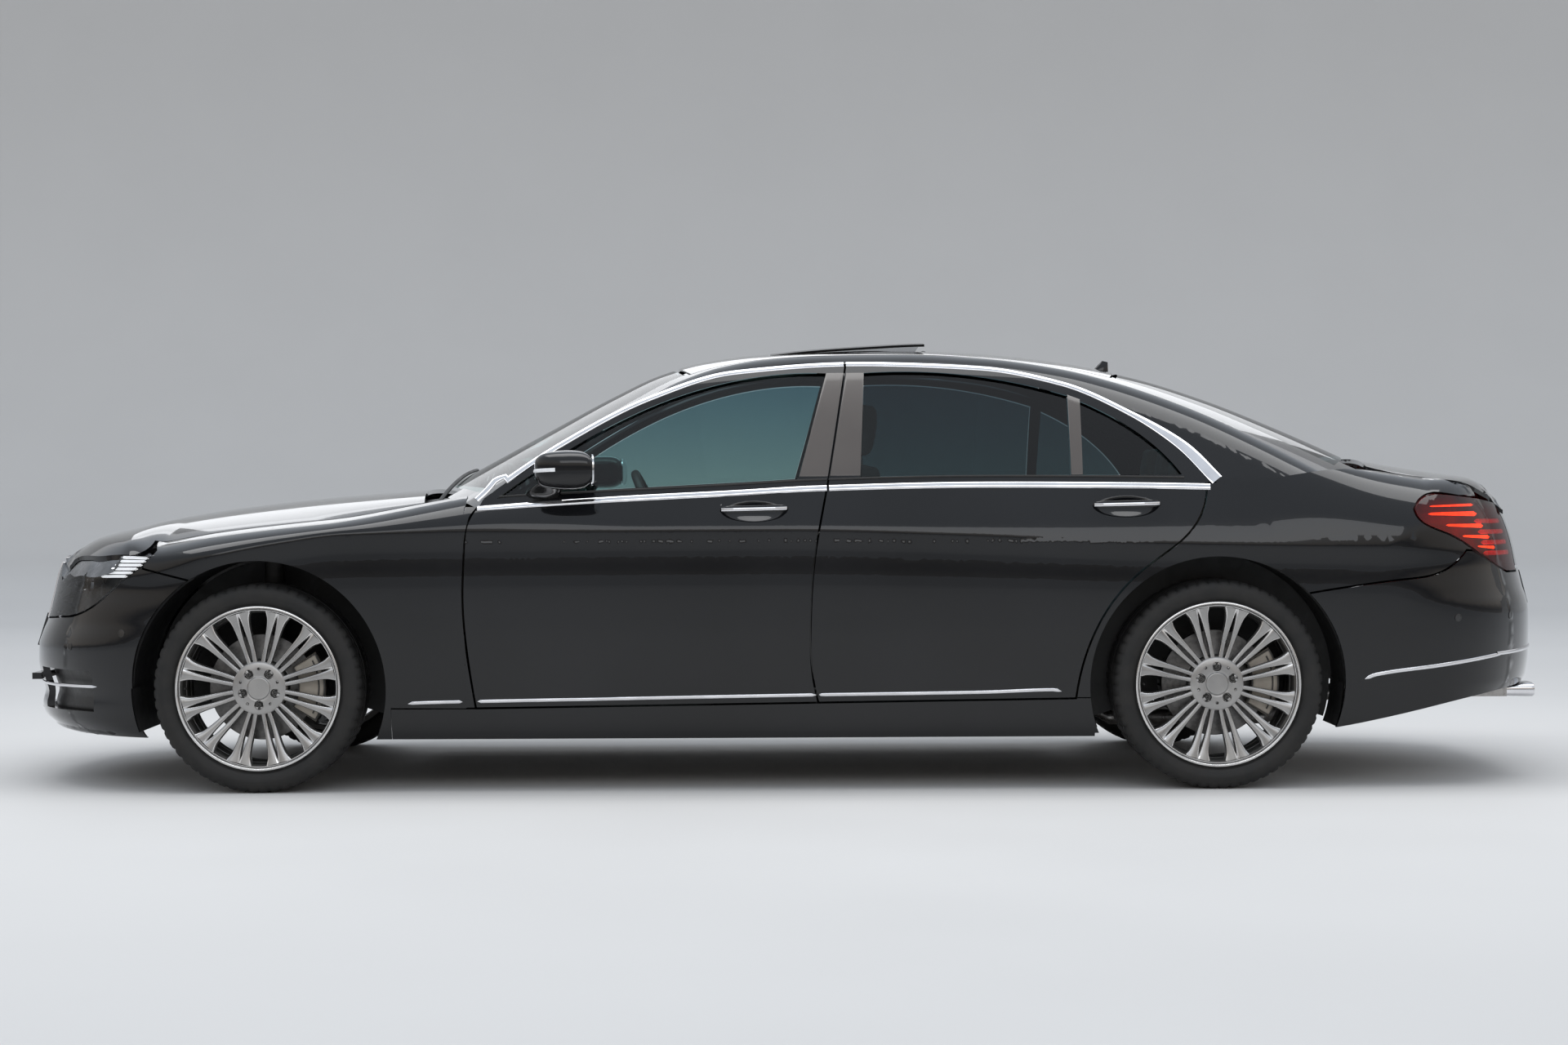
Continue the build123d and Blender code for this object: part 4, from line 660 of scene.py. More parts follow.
def bowl(door):
    """Presses the hollow behind a handle into the points of a door skin."""
    centre_x, centre_z, half_x, half_z, depth = BOWLS[door]

    def press(points, out):
        across = (points[:, 0] / MM - centre_x) / half_x
        up = (points[:, 2] / MM - centre_z) / half_z
        inside = np.clip(1 - across ** 2 - up ** 2, 0, 1)
        steep = 2 * inside * depth
        points = points - out * (depth * inside ** 2 * MM)[:, None]
        slope = np.stack([-2 * across / half_x * steep, 0 * up, -2 * up / half_z * steep], axis=1)
        out = out + slope
        return points, out / np.linalg.norm(out, axis=1)[:, None]

    def finer(edge):
        middle = (edge.verts[0].co + edge.verts[1].co) / (2 * MM)
        near = math.hypot((middle.x - centre_x) / (half_x + 20), (middle.z - centre_z) / (half_z + 20))
        return BOWL_SPACING if near < 1 else crease_spacing(edge)

    return press, finer


HANDS = (("left", -1), ("right", 1))
for node in ("left_front_fender", "right_front_fender", "front_bumper", "rear_bumper"):
    painted(node, [body_surface], BODY_OF[node], inner=PLASTIC, finer=crease_spacing)
painted("hood", [hood_surface], "hood", inner=STRUCTURE)
painted("boot_lid", [deck_surface, body_surface], "boot_lid", inner=STRUCTURE)
painted("roof_panel", [cabin_surface], "chassis", inner=HEADLINER)
for hand in ("left", "right"):
    painted(f"{hand}_body_side", [body_surface, cabin_surface], "chassis", inner=STRUCTURE, reach=0.009,
            finer=crease_spacing)
    for door in BOWLS:
        press, finer = bowl(door)
        painted(f"{hand}_{door}", [body_surface, window_surface], f"{hand}_{door}", inner=DARK_LEATHER,
                shape_it=press, finer=finer)

# glass panes
SCREEN_SUNK = 0.003
DOOR_GLASS_SUNK = 0.010
PANES = {"windscreen": (roof_surface, WINDSCREEN_GLASS, SCREEN_SUNK),
         "rear_window": (roof_surface, REAR_GLASS, SCREEN_SUNK)}
for hand in ("left", "right"):
    PANES[f"{hand}_front_door_glass"] = (window_surface, FRONT_GLASS, DOOR_GLASS_SUNK)
    PANES[f"{hand}_rear_door_glass"] = (window_surface, REAR_GLASS, DOOR_GLASS_SUNK)
for node, (surface, tint, sunk) in PANES.items():
    painted(node, [surface], BODY_OF[node], paint=tint, offset=sunk, only_outer=True)


# ================================================================ strips and patches on the surfaces
def smooth_path(points, step=14):
    """Evenly spaced points on a smooth line through the given ones, in mm."""
    points = np.array(points, float)
    run = np.concatenate([[0], np.cumsum(np.linalg.norm(np.diff(points, axis=0), axis=1))])
    stations = np.linspace(0, run[-1], max(int(run[-1] / step), 3))
    return np.stack([curve(list(zip(run, column)))(stations) for column in points.T], axis=1)


def on_side(path):
    """A path on the side view laid on the left side of the car."""
    path = np.array(path, float)
    return np.stack([path[:, 0], -side_y(path[:, 0], path[:, 1]), path[:, 1]], axis=1)


def snapped(route, surface):
    """Points in mm moved onto a surface, in metres, and the outward directions there."""
    points = np.array(route, float) * MM
    for _ in range(4):
        away, out = towards(surface, points)
        points = points - out * away[:, None]
    return points, out


CROWN = ((-0.5, -2.0), (-0.5, 0.2), (-0.43, 0.6), (-0.28, 0.88), (0.0, 1.0), (0.28, 0.88), (0.43, 0.6),
         (0.5, 0.2), (0.5, -2.0))
FLAT = ((-0.5, -2.0), (-0.5, 0.7), (-0.46, 1.0), (0.0, 1.0), (0.46, 1.0), (0.5, 0.7), (0.5, -2.0))


def unit(vectors):
    return vectors / np.maximum(np.linalg.norm(vectors, axis=1), 1e-9)[:, None]


def strip(name, body, route, width, lift, *materials, surface=flank_surface, hang=0.0, taper=0.0,
          profile=CROWN):
    """A strip along a route on a surface; hang 0.5 or -0.5 makes the route one of its edges."""
    points, out = snapped(route, surface)
    along = unit(np.gradient(points, axis=0))
    across = unit(np.cross(out, along))
    width = np.broadcast_to(np.asarray(width, float), len(points)) * MM
    high = np.full(len(points), lift * MM)
    if taper:
        run = np.concatenate([[0], np.cumsum(np.linalg.norm(np.diff(points, axis=0), axis=1))])
        near = np.clip(np.minimum(run, run[-1] - run) / (taper * MM), 0, 1)
        ease = 0.15 + 0.85 * np.sqrt(1 - (1 - near) ** 2)
        width, high = width * ease, high * ease
    rows = []
    for share, level in profile:
        row, out_here = snapped((points + across * ((share + hang) * width)[:, None]) / MM, surface)
        height = np.full(len(points), level * MM) if level < 0 else level * high
        rows.append(row + out_here * height[:, None])
    return sheet(name, body, rows, *materials, closed_rows=True, caps=True)


def patch(name, body, corners, lift, material, surface, rows=14, columns=9):
    """A thin cover between four corners (front low, front high, rear high, rear low) on the side view."""
    a, b, c, d = (np.array(corner, float) for corner in corners)
    grid = []
    for v in [0, 0, *np.linspace(0.01, 0.99, rows), 1, 1]:
        low, high = a + (d - a) * v, b + (c - b) * v
        column = [low + (high - low) * u for u in np.linspace(0.02, 0.98, columns)]
        grid.append([low, low, *column, high, high])
    grid = np.array(grid)
    heights = np.full(grid.shape[:2], lift)
    for edge, height in (([1, -2], lift * 0.5), ([0, -1], -3)):
        heights[edge, :] = height
        heights[:, edge] = height
    flat = on_side(grid.reshape(-1, 2))
    points, out = snapped(flat, surface)
    points = (points + out * heights.reshape(-1, 1) * MM).reshape(*grid.shape[:2], 3)
    return sheet(name, body, points, material)


def cut(path, x_from, x_to):
    """The part of a path between two x values, with points exactly at its ends."""
    xs, zs = path.T
    inside = path[(xs > x_from) & (xs < x_to)]
    first, last = (np.array([[x, np.interp(x, xs, zs)]] if xs[0] < x < xs[-1] else np.empty((0, 2)))
                   for x in (x_from, x_to))
    return np.concatenate([first, inside, last])


WINDOW_TOP = ((-1000, 952), (-735, 1135), (-433, 1295), (-159, 1379), (252, 1406), (663, 1390), (938, 1336),
              (1140, 1245), (1310, 1128), (1420, 1006))
BELT_LINE = ((-1004, 943), (-561, 973), (-157, 992), (113, 1006), (652, 1016), (1191, 1011), (1412, 1006))
SILL_LINE = ((-1251, 286), (-1227, 294), (-1013, 299), (-692, 304), (112, 316), (648, 322), (889, 329),
             (930, 320))
window_top = smooth_path(WINDOW_TOP)
belt_line = smooth_path(BELT_LINE)
sill_line = smooth_path(SILL_LINE)
TOP_STRIP = 20
BELT_STRIP = 22
SHUT_TOP_X = 213
SHUT_BELT_X = 150
GAP = 4

for door, x_from, x_to in (("front_door", -1010, SHUT_TOP_X - GAP), ("rear_door", SHUT_TOP_X + GAP, 1430)):
    route = cut(window_top, x_from, x_to)
    wide = TOP_STRIP + 22 * fade(route[:, 0], 1120, 1400)
    pair(f"{door}_window_strip", f"left_{door}", strip, on_side(route), wide, 3.5, CHROME,
         surface=window_surface, hang=0.5)
for door, x_from, x_to in (("front_door", -1010, SHUT_BELT_X - GAP), ("rear_door", SHUT_BELT_X + GAP, 1430)):
    route = cut(belt_line, x_from, x_to)
    pair(f"{door}_belt_strip", f"left_{door}", strip, on_side(route), BELT_STRIP, 5, CHROME, hang=-0.5)
    seal = route + (0, BELT_STRIP)
    seal = seal[(seal[:, 0] > -940) & (seal[:, 0] < 1330)]
    pair(f"{door}_belt_seal", f"left_{door}", strip, on_side(seal), 8, 2.5, RUBBER, hang=-0.5,
         surface=window_surface)
for panel, body, x_from, x_to in (("front_fender", "chassis", -1251, -1058),
                                  ("front_door", "left_front_door", -1008, 108),
                                  ("rear_door", "left_rear_door", 118, 930)):
    pair(f"{panel}_sill_strip", body, strip, on_side(cut(sill_line, x_from, x_to)), 12, 4, CHROME, taper=10)

# the rear edge of the front fender, where it runs out to meet the door
door_front = curve([(276, -1014), (500, -1044), (640, -1052), (783, -1047), (903, -1028), (945, -1000)])
FENDER_EDGE_X = -1052.0


def fender_edge(name, body, z_from, z_to):
    rows = []
    for z in np.linspace(z_from, z_to, 24):
        edge = max(float(door_front(z)) - GAP, FENDER_EDGE_X + 4)
        xs = np.array([FENDER_EDGE_X, *np.linspace(FENDER_EDGE_X + 3, edge, 6), edge])
        ys = -side_y(xs, z)
        ys[0] += 8
        ys[-1] += 30
        rows.append(np.stack([xs, ys, np.full(len(xs), z)], axis=1) * MM)
    return sheet(name, body, rows, PAINT, smooth=60)


pair("fender_foot_edge", "chassis", fender_edge, 279, 520)
pair("fender_top_edge", "chassis", fender_edge, 790, 940)

# dark covers on the middle pillar, one on each door, and the bar before the fixed rear pane
for cover, door, corners in (
        ("front_pillar_cover", "left_front_door", ((56, 1036), (150, 1036), (208, 1384), (150, 1384))),
        ("rear_pillar_cover", "left_rear_door", ((158, 1038), (258, 1038), (276, 1384), (217, 1384))),
        ("pane_bar", "left_rear_door", ((955, 1038), (993, 1038), (998, 1290), (957, 1306)))):
    pair(cover, door, patch, corners, 1.2, PILLAR, window_surface)


# ================================================================ door handles
HANDLE_HALF = 112
HANDLE_BOW = 30
HANDLE_TILT = 0.02


def bowed(centre_x, centre_z, reach, out, up):
    """A line along a door handle, which bows out from the door, moved outwards and up by so many mm."""
    s = np.linspace(-reach, reach, 33)
    x = centre_x + s * HANDLE_HALF
    z = centre_z + HANDLE_TILT * s * HANDLE_HALF
    return np.stack([x, -side_y(x, z) - 4 - HANDLE_BOW * (1 - s ** 4) - out, z + up], axis=1) * MM


def handle(name, body, x, z):
    """The grip, thinner towards its two feet."""
    end = np.sqrt(np.maximum(1 - np.linspace(-1, 1, 33) ** 8, 0))
    deep = 5.5 * (0.3 + 0.7 * end)
    tall = 12.5 * (0.35 + 0.65 * end)
    rows = [bowed(x, z, 1, deep * math.cos(t), tall * math.sin(t)) for t in round_angles(14)]
    return sheet(name, body, rows, PAINT, closed_rows=True, caps=True)


def handle_strip(name, body, x, z):
    rows = [bowed(x, z, 0.96, 4.6 + out, up)
            for up, out in ((-5, 0), (-5, 1.2), (-3.5, 2), (3.5, 2), (5, 1.2), (5, 0))]
    return sheet(name, body, rows, CHROME, closed_rows=True, caps=True)


for door, x, z in (("front_door", -93, 930), ("rear_door", 1133, 940)):
    pair(f"{door}_handle", f"left_{door}", handle, x, z)
    pair(f"{door}_handle_strip", f"left_{door}", handle_strip, x, z)


# ================================================================ wheels
def wheel_frame(node):
    """Centre of a wheel, the side it faces, and half the width of its rim, in metres."""
    low, high = (np.array(corner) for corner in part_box(node))
    centre = (low + high) / 2
    return centre, math.copysign(1, centre[1]), (high[1] - low[1]) / 2


def on_wheel(hub, outward, radius, angle):
    """Points in metres from distance out along the axle, radius and angle."""
    centre, side, _ = hub
    outward, radius, angle = np.broadcast_arrays(outward, radius, angle)
    return np.stack([centre[0] + radius * np.cos(angle), centre[1] + side * outward,
                     centre[2] + radius * np.sin(angle)], axis=-1)


def lathe(name, body, hub, profile, *materials, turns, skins=None):
    """A ring turned about the axle; each point of the profile is (outwards, radius) in mm."""
    rows = [on_wheel(hub, out * MM, radius * MM, round_angles(turns)) for out, radius in profile]
    return sheet(name, body, rows, *materials, closed_rows=True, closed_columns=True, skins=skins)


arm_offset = curve([(62, 7.5), (120, 12.5), (160, 14.5), (200, 15.5), (230, 17), (256, 22)])
arm_half = curve([(62, 7.0), (120, 7.0), (160, 8.2), (200, 10.5), (230, 14.5), (256, 23)])
arm_face = curve([(62, 80), (120, 79), (200, 91), (256, 99)])
ARM_PROFILE = ((-1.12, -26), (-1, -4), (-0.72, -0.8), (0, 0), (0.72, -0.8), (1, -4), (1.12, -26))
# the two chamfers of each arm take the lighter alloy, a painted highlight
ARM_SKINS = (0, 1, 0, 0, 1, 0, 0)
ARM_GROUPS = 12


def spokes(name, body, hub):
    """Twelve pairs of arms, each pair round a lens-shaped gap."""
    radii = np.linspace(62, 255, 22)
    shape = bmesh.new()
    for group in range(ARM_GROUPS):
        middle = math.radians(15 + 30 * group)
        for hand in (-1, 1):
            rows = []
            for share, down in ARM_PROFILE:
                lateral = hand * arm_offset(radii) + share * arm_half(radii)
                rows.append(on_wheel(hub, (arm_face(radii) + down) * MM, np.hypot(radii, lateral) * MM,
                                     middle + np.arctan2(lateral, radii)))
            grid_mesh(rows, closed_rows=True, skins=ARM_SKINS, into=shape)
    return from_bmesh(name, shape, body, ALLOY, ALLOY_HIGHLIGHT, smooth=50)


LUG_CIRCLE = 56
LUG_HOLE = 14.5
PIN_HOLE = 4.0
HOLE_DEPTH = 15


def hub_disc(name, body, hub, first_lug):
    """The wheel's centre: a dished face with five bolt recesses round a bare cap."""
    face = curve([(0, 88), (33, 88), (36.5, 86.5), (38, 83.5), (41, 83), (44, 84), (62, 84), (78, 82),
                  (88, 79), (91, 72)])
    radii = np.concatenate([[0.5, 15, 30, 33, 35, 36.5, 37.5, 38.5], np.arange(40, 73, 1.5),
                            [75, 80, 84, 87, 89, 91, 91.5]])
    angles = round_angles(270)
    rows = []
    for radius in radii:
        height = np.full(len(angles), float(face(radius)))
        for lug in first_lug + round_angles(5):
            for reach, hole, turn in ((LUG_CIRCLE, LUG_HOLE, 0), (LUG_CIRCLE + 8, PIN_HOLE, math.pi / 5)):
                from_lug = angles - lug - turn
                away = np.hypot(radius * np.cos(from_lug) - reach, radius * np.sin(from_lug))
                height -= HOLE_DEPTH * (1 - fade(away, hole - 1.5, hole + 0.6))
        rows.append(on_wheel(hub, height * MM, radius * MM, angles))
    rows.append(on_wheel(hub, 55 * MM, 91.5 * MM, angles))
    return sheet(name, body, rows, ALLOY, closed_columns=True, smooth=50)


def studs(name, body, hub, spots, profile, material, count, flat=1.0):
    """Small turned pieces that stand along the axle; flat draws in every other point of their rings."""
    turns = round_angles(count)
    shape = bmesh.new()
    for spot in spots:
        rows = []
        for out, radius in profile:
            wave = radius * np.where(np.arange(count) % 2, 1.0, flat) * MM
            rows.append(np.stack([spot[0] + wave * np.cos(turns), np.full(count, spot[1] + hub[1] * out * MM),
                                  spot[2] + wave * np.sin(turns)], axis=1))
        grid_mesh(rows, closed_columns=True, into=shape)
    return from_bmesh(name, shape, body, material)


BOLT_PROFILE = ((66, 11.5), (72, 11.5), (73, 10.5), (73.2, 8.8), (79, 8.2), (80, 7), (80.2, 3), (77, 2.6))
VALVE_PROFILE = ((-46, 4.5), (-40, 4.5), (-39, 3), (-26, 3), (-25, 3.6), (-17, 3.4), (-16, 1))
VALVE_RADIUS = 0.243


def rim_profile(half):
    """The rim from its outer lip over the barrel to its inner lip and back under the tyre."""
    return [(half - 1, 272), (half, 270.5), (half, 266.5), (half - 1.5, 264.5), (half - 6, 262.5),
            (half - 12, 260), (half - 20, 256.5), (half - 30, 253), (40, 251.5), (30, 251), (28, 248.5),
            (10, 248.5), (8, 250), (-40, 250), (-42, 247.5), (-58, 247.5), (-60, 250), (-half + 4, 252.5),
            (-half, 256), (-half, 271), (-half + 1, 272), (-half + 9, 272), (-half + 9.5, 257.8),
            (half - 9.5, 257.8), (half - 9, 272)]


# rim faces: 0 alloy, 1 lighter alloy on the lips as a painted highlight, 2 the barrel darkened as painted
# shade
RIM_SKINS = (1, 1, 1, 0, 0, 0, 0, 2, 2, 2, 2, 2, 2, 2, 2, 2, 2, 2, 2, 2, 2, 2, 2, 1, 1)

BRAKE_PROFILE = ((12, 174), (12, 97), (14, 93), (46, 88), (51, 86), (52, 60), (48, 60), (46, 80), (8, 88),
                 (-20, 97), (-20, 174), (-14, 176), (6, 176))
SHOULDER_SIPE = 4.5
RIB_SIPE = 3.0


def tyre_skin(name, body, hub, width):
    """Sidewalls with fine rings, four grooves round the tread and sipes across its shoulders."""
    half = width / 2
    side_wall = smooth_path([(half - 22.3, 260), (half - 22, 274), (half - 12, 284), (half - 3.2, 297),
                             (half - 0.6, 308), (half - 3, 322), (half - 10, 334.5), (half - 18, 340.5),
                             (half - 28, 344)], 3.6)
    tread_half = half - 28
    across = np.linspace(tread_half, -tread_half, 53)[1:-1]
    tread_radius = 344.4 + 0.5 * (1 - (across / tread_half) ** 2)
    for groove in (0.62, 0.22, -0.22, -0.62):
        tread_radius -= 7 * (1 - fade(np.abs(across - groove * tread_half), 3.2, 5.2))
    for radius, half_wide, raised in ((288, 1.6, 0.7), (318, 1.2, 0.5)):
        side_wall[:, 0] += np.where(np.abs(side_wall[:, 1] - radius) < half_wide, raised, 0)
    profile = np.concatenate([side_wall, np.stack([across, tread_radius], axis=1),
                              (side_wall * (-1, 1))[::-1]])
    profile[:, 0] = np.clip(profile[:, 0], -half, half)
    angles = round_angles(240)
    sipe = np.where(np.arange(len(angles)) % 4 == 0, 1.0, 0.0)
    rows = []
    for out, radius in profile:
        shoulder_band = (abs(out) > 0.70 * tread_half) and (radius > 331)
        rib_band = abs(abs(out) - 0.42 * tread_half) < 0.12 * tread_half and radius > 343
        depth = SHOULDER_SIPE if shoulder_band else (RIB_SIPE if rib_band else 0)
        rows.append(on_wheel(hub, out * MM, (radius - depth * sipe) * MM, angles))
    return sheet(name, body, rows, RUBBER, closed_columns=True, smooth=40)


CALIPER_ANGLE = math.radians(33)
CALIPER_IN = 121
CALIPER_OUT = 213


def caliper_cover(name, body, hub):
    """The outer face of the brake caliper, a curved bridge with two bosses."""
    grid_a, grid_r = np.meshgrid(np.linspace(-CALIPER_ANGLE, CALIPER_ANGLE, 45),
                                 np.linspace(CALIPER_IN, CALIPER_OUT, 24), indexing="ij")
    edge = np.minimum((CALIPER_ANGLE - np.abs(grid_a)) * 170, grid_r - CALIPER_IN)
    edge = np.minimum(edge, CALIPER_OUT - grid_r)
    height = 26 + 14 * np.sqrt(1 - (1 - np.clip(edge / 12, 0, 1)) ** 2)
    for boss in (-16, 16):
        away = np.hypot((grid_a - math.radians(boss)) * 165, grid_r - 158)
        height += 2.2 * (1 - fade(away, 19, 23))
    height -= 3 * (1 - fade(np.abs(grid_r - 192), 2, 5)) * (edge > 14)
    return sheet(name, body, on_wheel(hub, height * MM, grid_r * MM, grid_a), CALIPER, smooth=60)


TYRE_WIDTH = {"front": 245, "rear": 265}
FIRST_LUG = {"front": math.radians(-90), "rear": math.radians(90)}
for hand, _ in HANDS:
    for end in ("front", "rear"):
        node = f"{hand}_{end}_wheel"
        hub = wheel_frame(node)
        body = BODY_OF[node]
        first = FIRST_LUG[end]
        half = hub[2] / MM
        arms = spokes(f"{node}_spokes", body, hub)
        hub_disc(f"{node}_hub", body, hub, first)
        # the rim's barrel and the brake disc are coloured dark as painted shade, the rim's lips lighter as a
        # painted highlight
        lathe(f"{node}_rim", body, hub, rim_profile(half), ALLOY, ALLOY_HIGHLIGHT, BARREL_SHADE, turns=180,
              skins=RIM_SKINS)
        lathe(f"{node}_brake_disc", body, hub, BRAKE_PROFILE, BRAKE_SHADE, turns=120)
        studs(f"{node}_bolts", body, hub, on_wheel(hub, 0.0, LUG_CIRCLE * MM, first + round_angles(5)),
              BOLT_PROFILE, CAST, 12, flat=0.93)
        studs(f"{node}_valve", body, hub, on_wheel(hub, 0.0, VALVE_RADIUS, [math.pi]),
              [(half + out, radius) for out, radius in VALVE_PROFILE], RUBBER, 10)
        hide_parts(node)
        tread = tyre_skin(f"{hand}_{end}_tyre_skin", BODY_OF[f"{hand}_{end}_tyre"], hub, TYRE_WIDTH[end])
        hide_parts(f"{hand}_{end}_tyre")
        carrier = "rear_axle" if end == "rear" else f"{hand}_knuckle"
        caliper_cover(f"{hand}_{end}_caliper_cover", BODY_OF[carrier], hub)


# ================================================================ wheelhouses
LINER_RADIUS = 419.5
LINER_OUTER_Y = -872


def upright(hub, radius, y, turns):
    """Points of a ring round an axle, with the distance out given as a place across the car, in mm."""
    return np.stack([hub[0][0] + radius * MM * np.cos(turns), np.broadcast_to(y * MM, turns.shape),
                     hub[0][2] + radius * MM * np.sin(turns)], axis=1)


def liner_skirt(name, body, hub, inner_y):
    """The wheelhouse carried on below the axle, ahead of the wheel and behind it."""
    shape = bmesh.new()
    for angles in (np.linspace(0, -20, 8), np.linspace(180, 200, 8)):
        for radius, flip in ((LINER_RADIUS, 1), (LINER_RADIUS + 4, -1)):
            grid_mesh([upright(hub, radius, y, np.radians(angles))
                       for y in np.linspace(LINER_OUTER_Y, inner_y, 6)[::flip]], into=shape)
    return from_bmesh(name, shape, body, PLASTIC)


def liner_wall(name, body, hub, wall_y, hole):
    """The inner wall of a wheelhouse, slightly dished, with pressed ribs."""
    turns = np.radians(np.linspace(-18, 198, 60))
    rows = []
    for radius in np.linspace(hole, 416, 30):
        dish = 10 * (radius / 416) ** 2 + 2.0 * np.cos(turns * 24) * fade(radius, 250, 300)
        rows.append(upright(hub, radius, wall_y - dish, turns))
    return sheet(name, body, rows, PLASTIC)


LINERS = (("front", -492, -470, 4), ("rear", -642, -630, 165))
for end, inner_y, _, _ in LINERS:
    pair(f"{end}_liner_skirt", "chassis", liner_skirt, wheel_frame(f"left_{end}_wheel"), inner_y)
for end, _, wall_y, hole in LINERS:
    pair(f"{end}_liner_wall", "chassis", liner_wall, wheel_frame(f"left_{end}_wheel"), wall_y, hole)


# ================================================================ nose and tail
def end_x(y, z, end):
    """Where the body's front (-1) or rear (1) face is, for arrays in mm."""
    y, z = np.broadcast_arrays(np.abs(np.asarray(y, float)), np.asarray(z, float))
    tip, sweep = (nose_x(z), NOSE_SWEEP) if end < 0 else (tail_x(z), -TAIL_SWEEP)
    x = tip + sweep * 0.2
    for _ in range(4):
        lost = np.clip(1 - y / flank(x, z), 0, 1) ** CORNER_POWER
        lost = lost - (1 - shoulder_share(x, z)) ** CORNER_POWER
        across = 1 - np.clip(lost, 0, None) ** (1 / CORNER_POWER)
        x = tip + sweep * (1 - (1 - np.clip(across, 0, 1) ** PLAN_POWER) ** (1 / PLAN_POWER))
    return x


def on_end(ys, zs, end):
    ys, zs = np.broadcast_arrays(np.asarray(ys, float), np.asarray(zs, float))
    return np.stack([end_x(ys, zs, end), ys, zs], axis=-1)


def lamp_walls(node, material):
    """The back and sides of a lamp's housing: its solid without the face that the lens covers."""
    shape = bmesh.new()
    shape.from_mesh(NODES[node].data)
    bmesh.ops.remove_doubles(shape, verts=shape.verts, dist=1e-5)
    points = np.array([v.co for v in shape.verts])
    away, _ = towards(body_surface, points)
    shape.verts.index_update()
    lens_faces = [f for f in shape.faces if all(abs(away[v.index]) < OUTER_REACH for v in f.verts)]
    bmesh.ops.delete(shape, geom=lens_faces, context="FACES")
    mesh = bpy.data.meshes.new(node + "_housing")
    shape.to_mesh(mesh)
    shape.free()
    return place(node + "_housing", mesh, BODY_OF[node], material)


LAMPS = (("headlights", LENS, LAMP_BEZEL), ("tail_lights", RED_LENS, LAMP_RED))
for node, lens, _ in LAMPS:
    painted(node, [body_surface], "chassis", paint=lens, only_outer=True)
for node, _, housing in LAMPS:
    lamp_walls(node, housing)

LAMP_BOWL = ((-38, 0.30), (-38, 0.62), (-30, 0.80), (-10, 0.97), (0, 1.06), (3, 1.10), (3, 1.18), (-6, 1.20))
LAMP_DOME = ((-26, 0.78), (-14, 0.76), (-10, 0.70), (-4, 0.52), (-1, 0.30), (0, 0.02))


def round_lamp(name, body, centre, radius, aim):
    """A projector: a dark bowl, a bright ring and a domed lens, turned about its own line of aim."""
    shape = bmesh.new()
    for profile, skins in ((LAMP_BOWL, (0, 0, 0, 0, 1, 1, 1)), (LAMP_DOME, (1, 2, 2, 2, 2))):
        rows = rings_about(aim, Vector(centre) * MM, [(out, share * radius) for out, share in profile], 48)
        grid_mesh(rows, closed_columns=True, skins=skins, into=shape)
    return from_bmesh(name, shape, body, LAMP_BLACK, REFLECTOR, LAMP_GLASS)


pair("headlight_outer_lamp", "chassis", round_lamp, (float(end_x(-688, 700, -1)) + 42, -676, 706), 40,
     (-0.93, -0.36, 0))
pair("headlight_inner_lamp", "chassis", round_lamp, (float(end_x(-560, 695, -1)) + 40, -552, 690), 38,
     (-0.97, -0.22, 0))


def lamp_bar(name, body, route, width, sunk, material):
    """A bar inside a lamp, at a depth below its lens."""
    points, out = snapped(route, body_surface)
    return strip(name, body, (points - out * sunk * MM) / MM, width, 3.0, material, taper=6,
                 surface=lambda x, y, z: body_surface(x, y, z) + sunk)


def lamp_top(ys, drop):
    """Points along a headlight's upper edge, so far below the hood's shut line."""
    zs = np.full(len(ys), 800.0)
    for _ in range(6):
        zs = hood_height(end_x(ys, zs, -1), ys) - drop
    return on_end(ys, zs, -1)


pair("headlight_brow", "chassis", lamp_bar, lamp_top(np.linspace(-470, -800, 24), 26), 13, 9, REFLECTOR)
lamp_rear = curve([(640, -2260), (708, -2178), (756, -2110), (800, -2074)])
for number in range(6):
    level = 716 + 13 * number
    reach = float(lamp_rear(level)) - 7
    route = np.stack([np.linspace(reach - 104, reach, 14), np.full(14, level)], axis=1)
    pair(f"headlight_tip_bar_{number + 1}", "chassis", lamp_bar, on_side(route), 9, 10, LAMP_WHITE)
pair("headlight_foot_strip", "chassis", lamp_bar,
     on_end(np.linspace(-470, -740, 24), np.linspace(618, 672, 24), -1), 9, 14, REFLECTOR)


def tail_lens(x, y, z):
    """The surface that the tail light's stripes stand on, behind the lens."""
    return body_surface(x, y, z) + 7


TAIL_STRIPES = ((2140, 2312, 931, 933, 9), (2132, 2322, 905, 903, 17), (2196, 2345, 866, 862, 15),
                (2258, 2370, 829, 824, 13), (2318, 2392, 794, 788, 11))
for number, (x_from, x_to, z_from, z_to, width) in enumerate(TAIL_STRIPES):
    route = np.stack([np.linspace(x_from, x_to, 18), np.linspace(z_from, z_to, 18)], axis=1)
    pair(f"tail_light_stripe_{number + 1}", "chassis", strip, on_side(route),
         width * np.linspace(0.45, 1.0, 18), 2.5, LAMP_AMBER, surface=tail_lens, taper=5)
for number, level in enumerate((770, 806, 842, 878)):
    pair(f"tail_light_rear_stripe_{number + 1}", "chassis", strip,
         on_end(np.linspace(-800, -600, 20), level, 1), 15, 2.5, LAMP_GLOW, surface=tail_lens, taper=5)


def sunk_mesh(name, half_y, columns, levels, depth):
    """A dark mesh that follows the nose, so far behind its face, in metres."""
    ys = np.linspace(-half_y, half_y, columns)
    sheet(name, "chassis", [on_end(ys, level, -1) * MM + (depth, 0, 0) for level in levels], GRILLE_MESH)


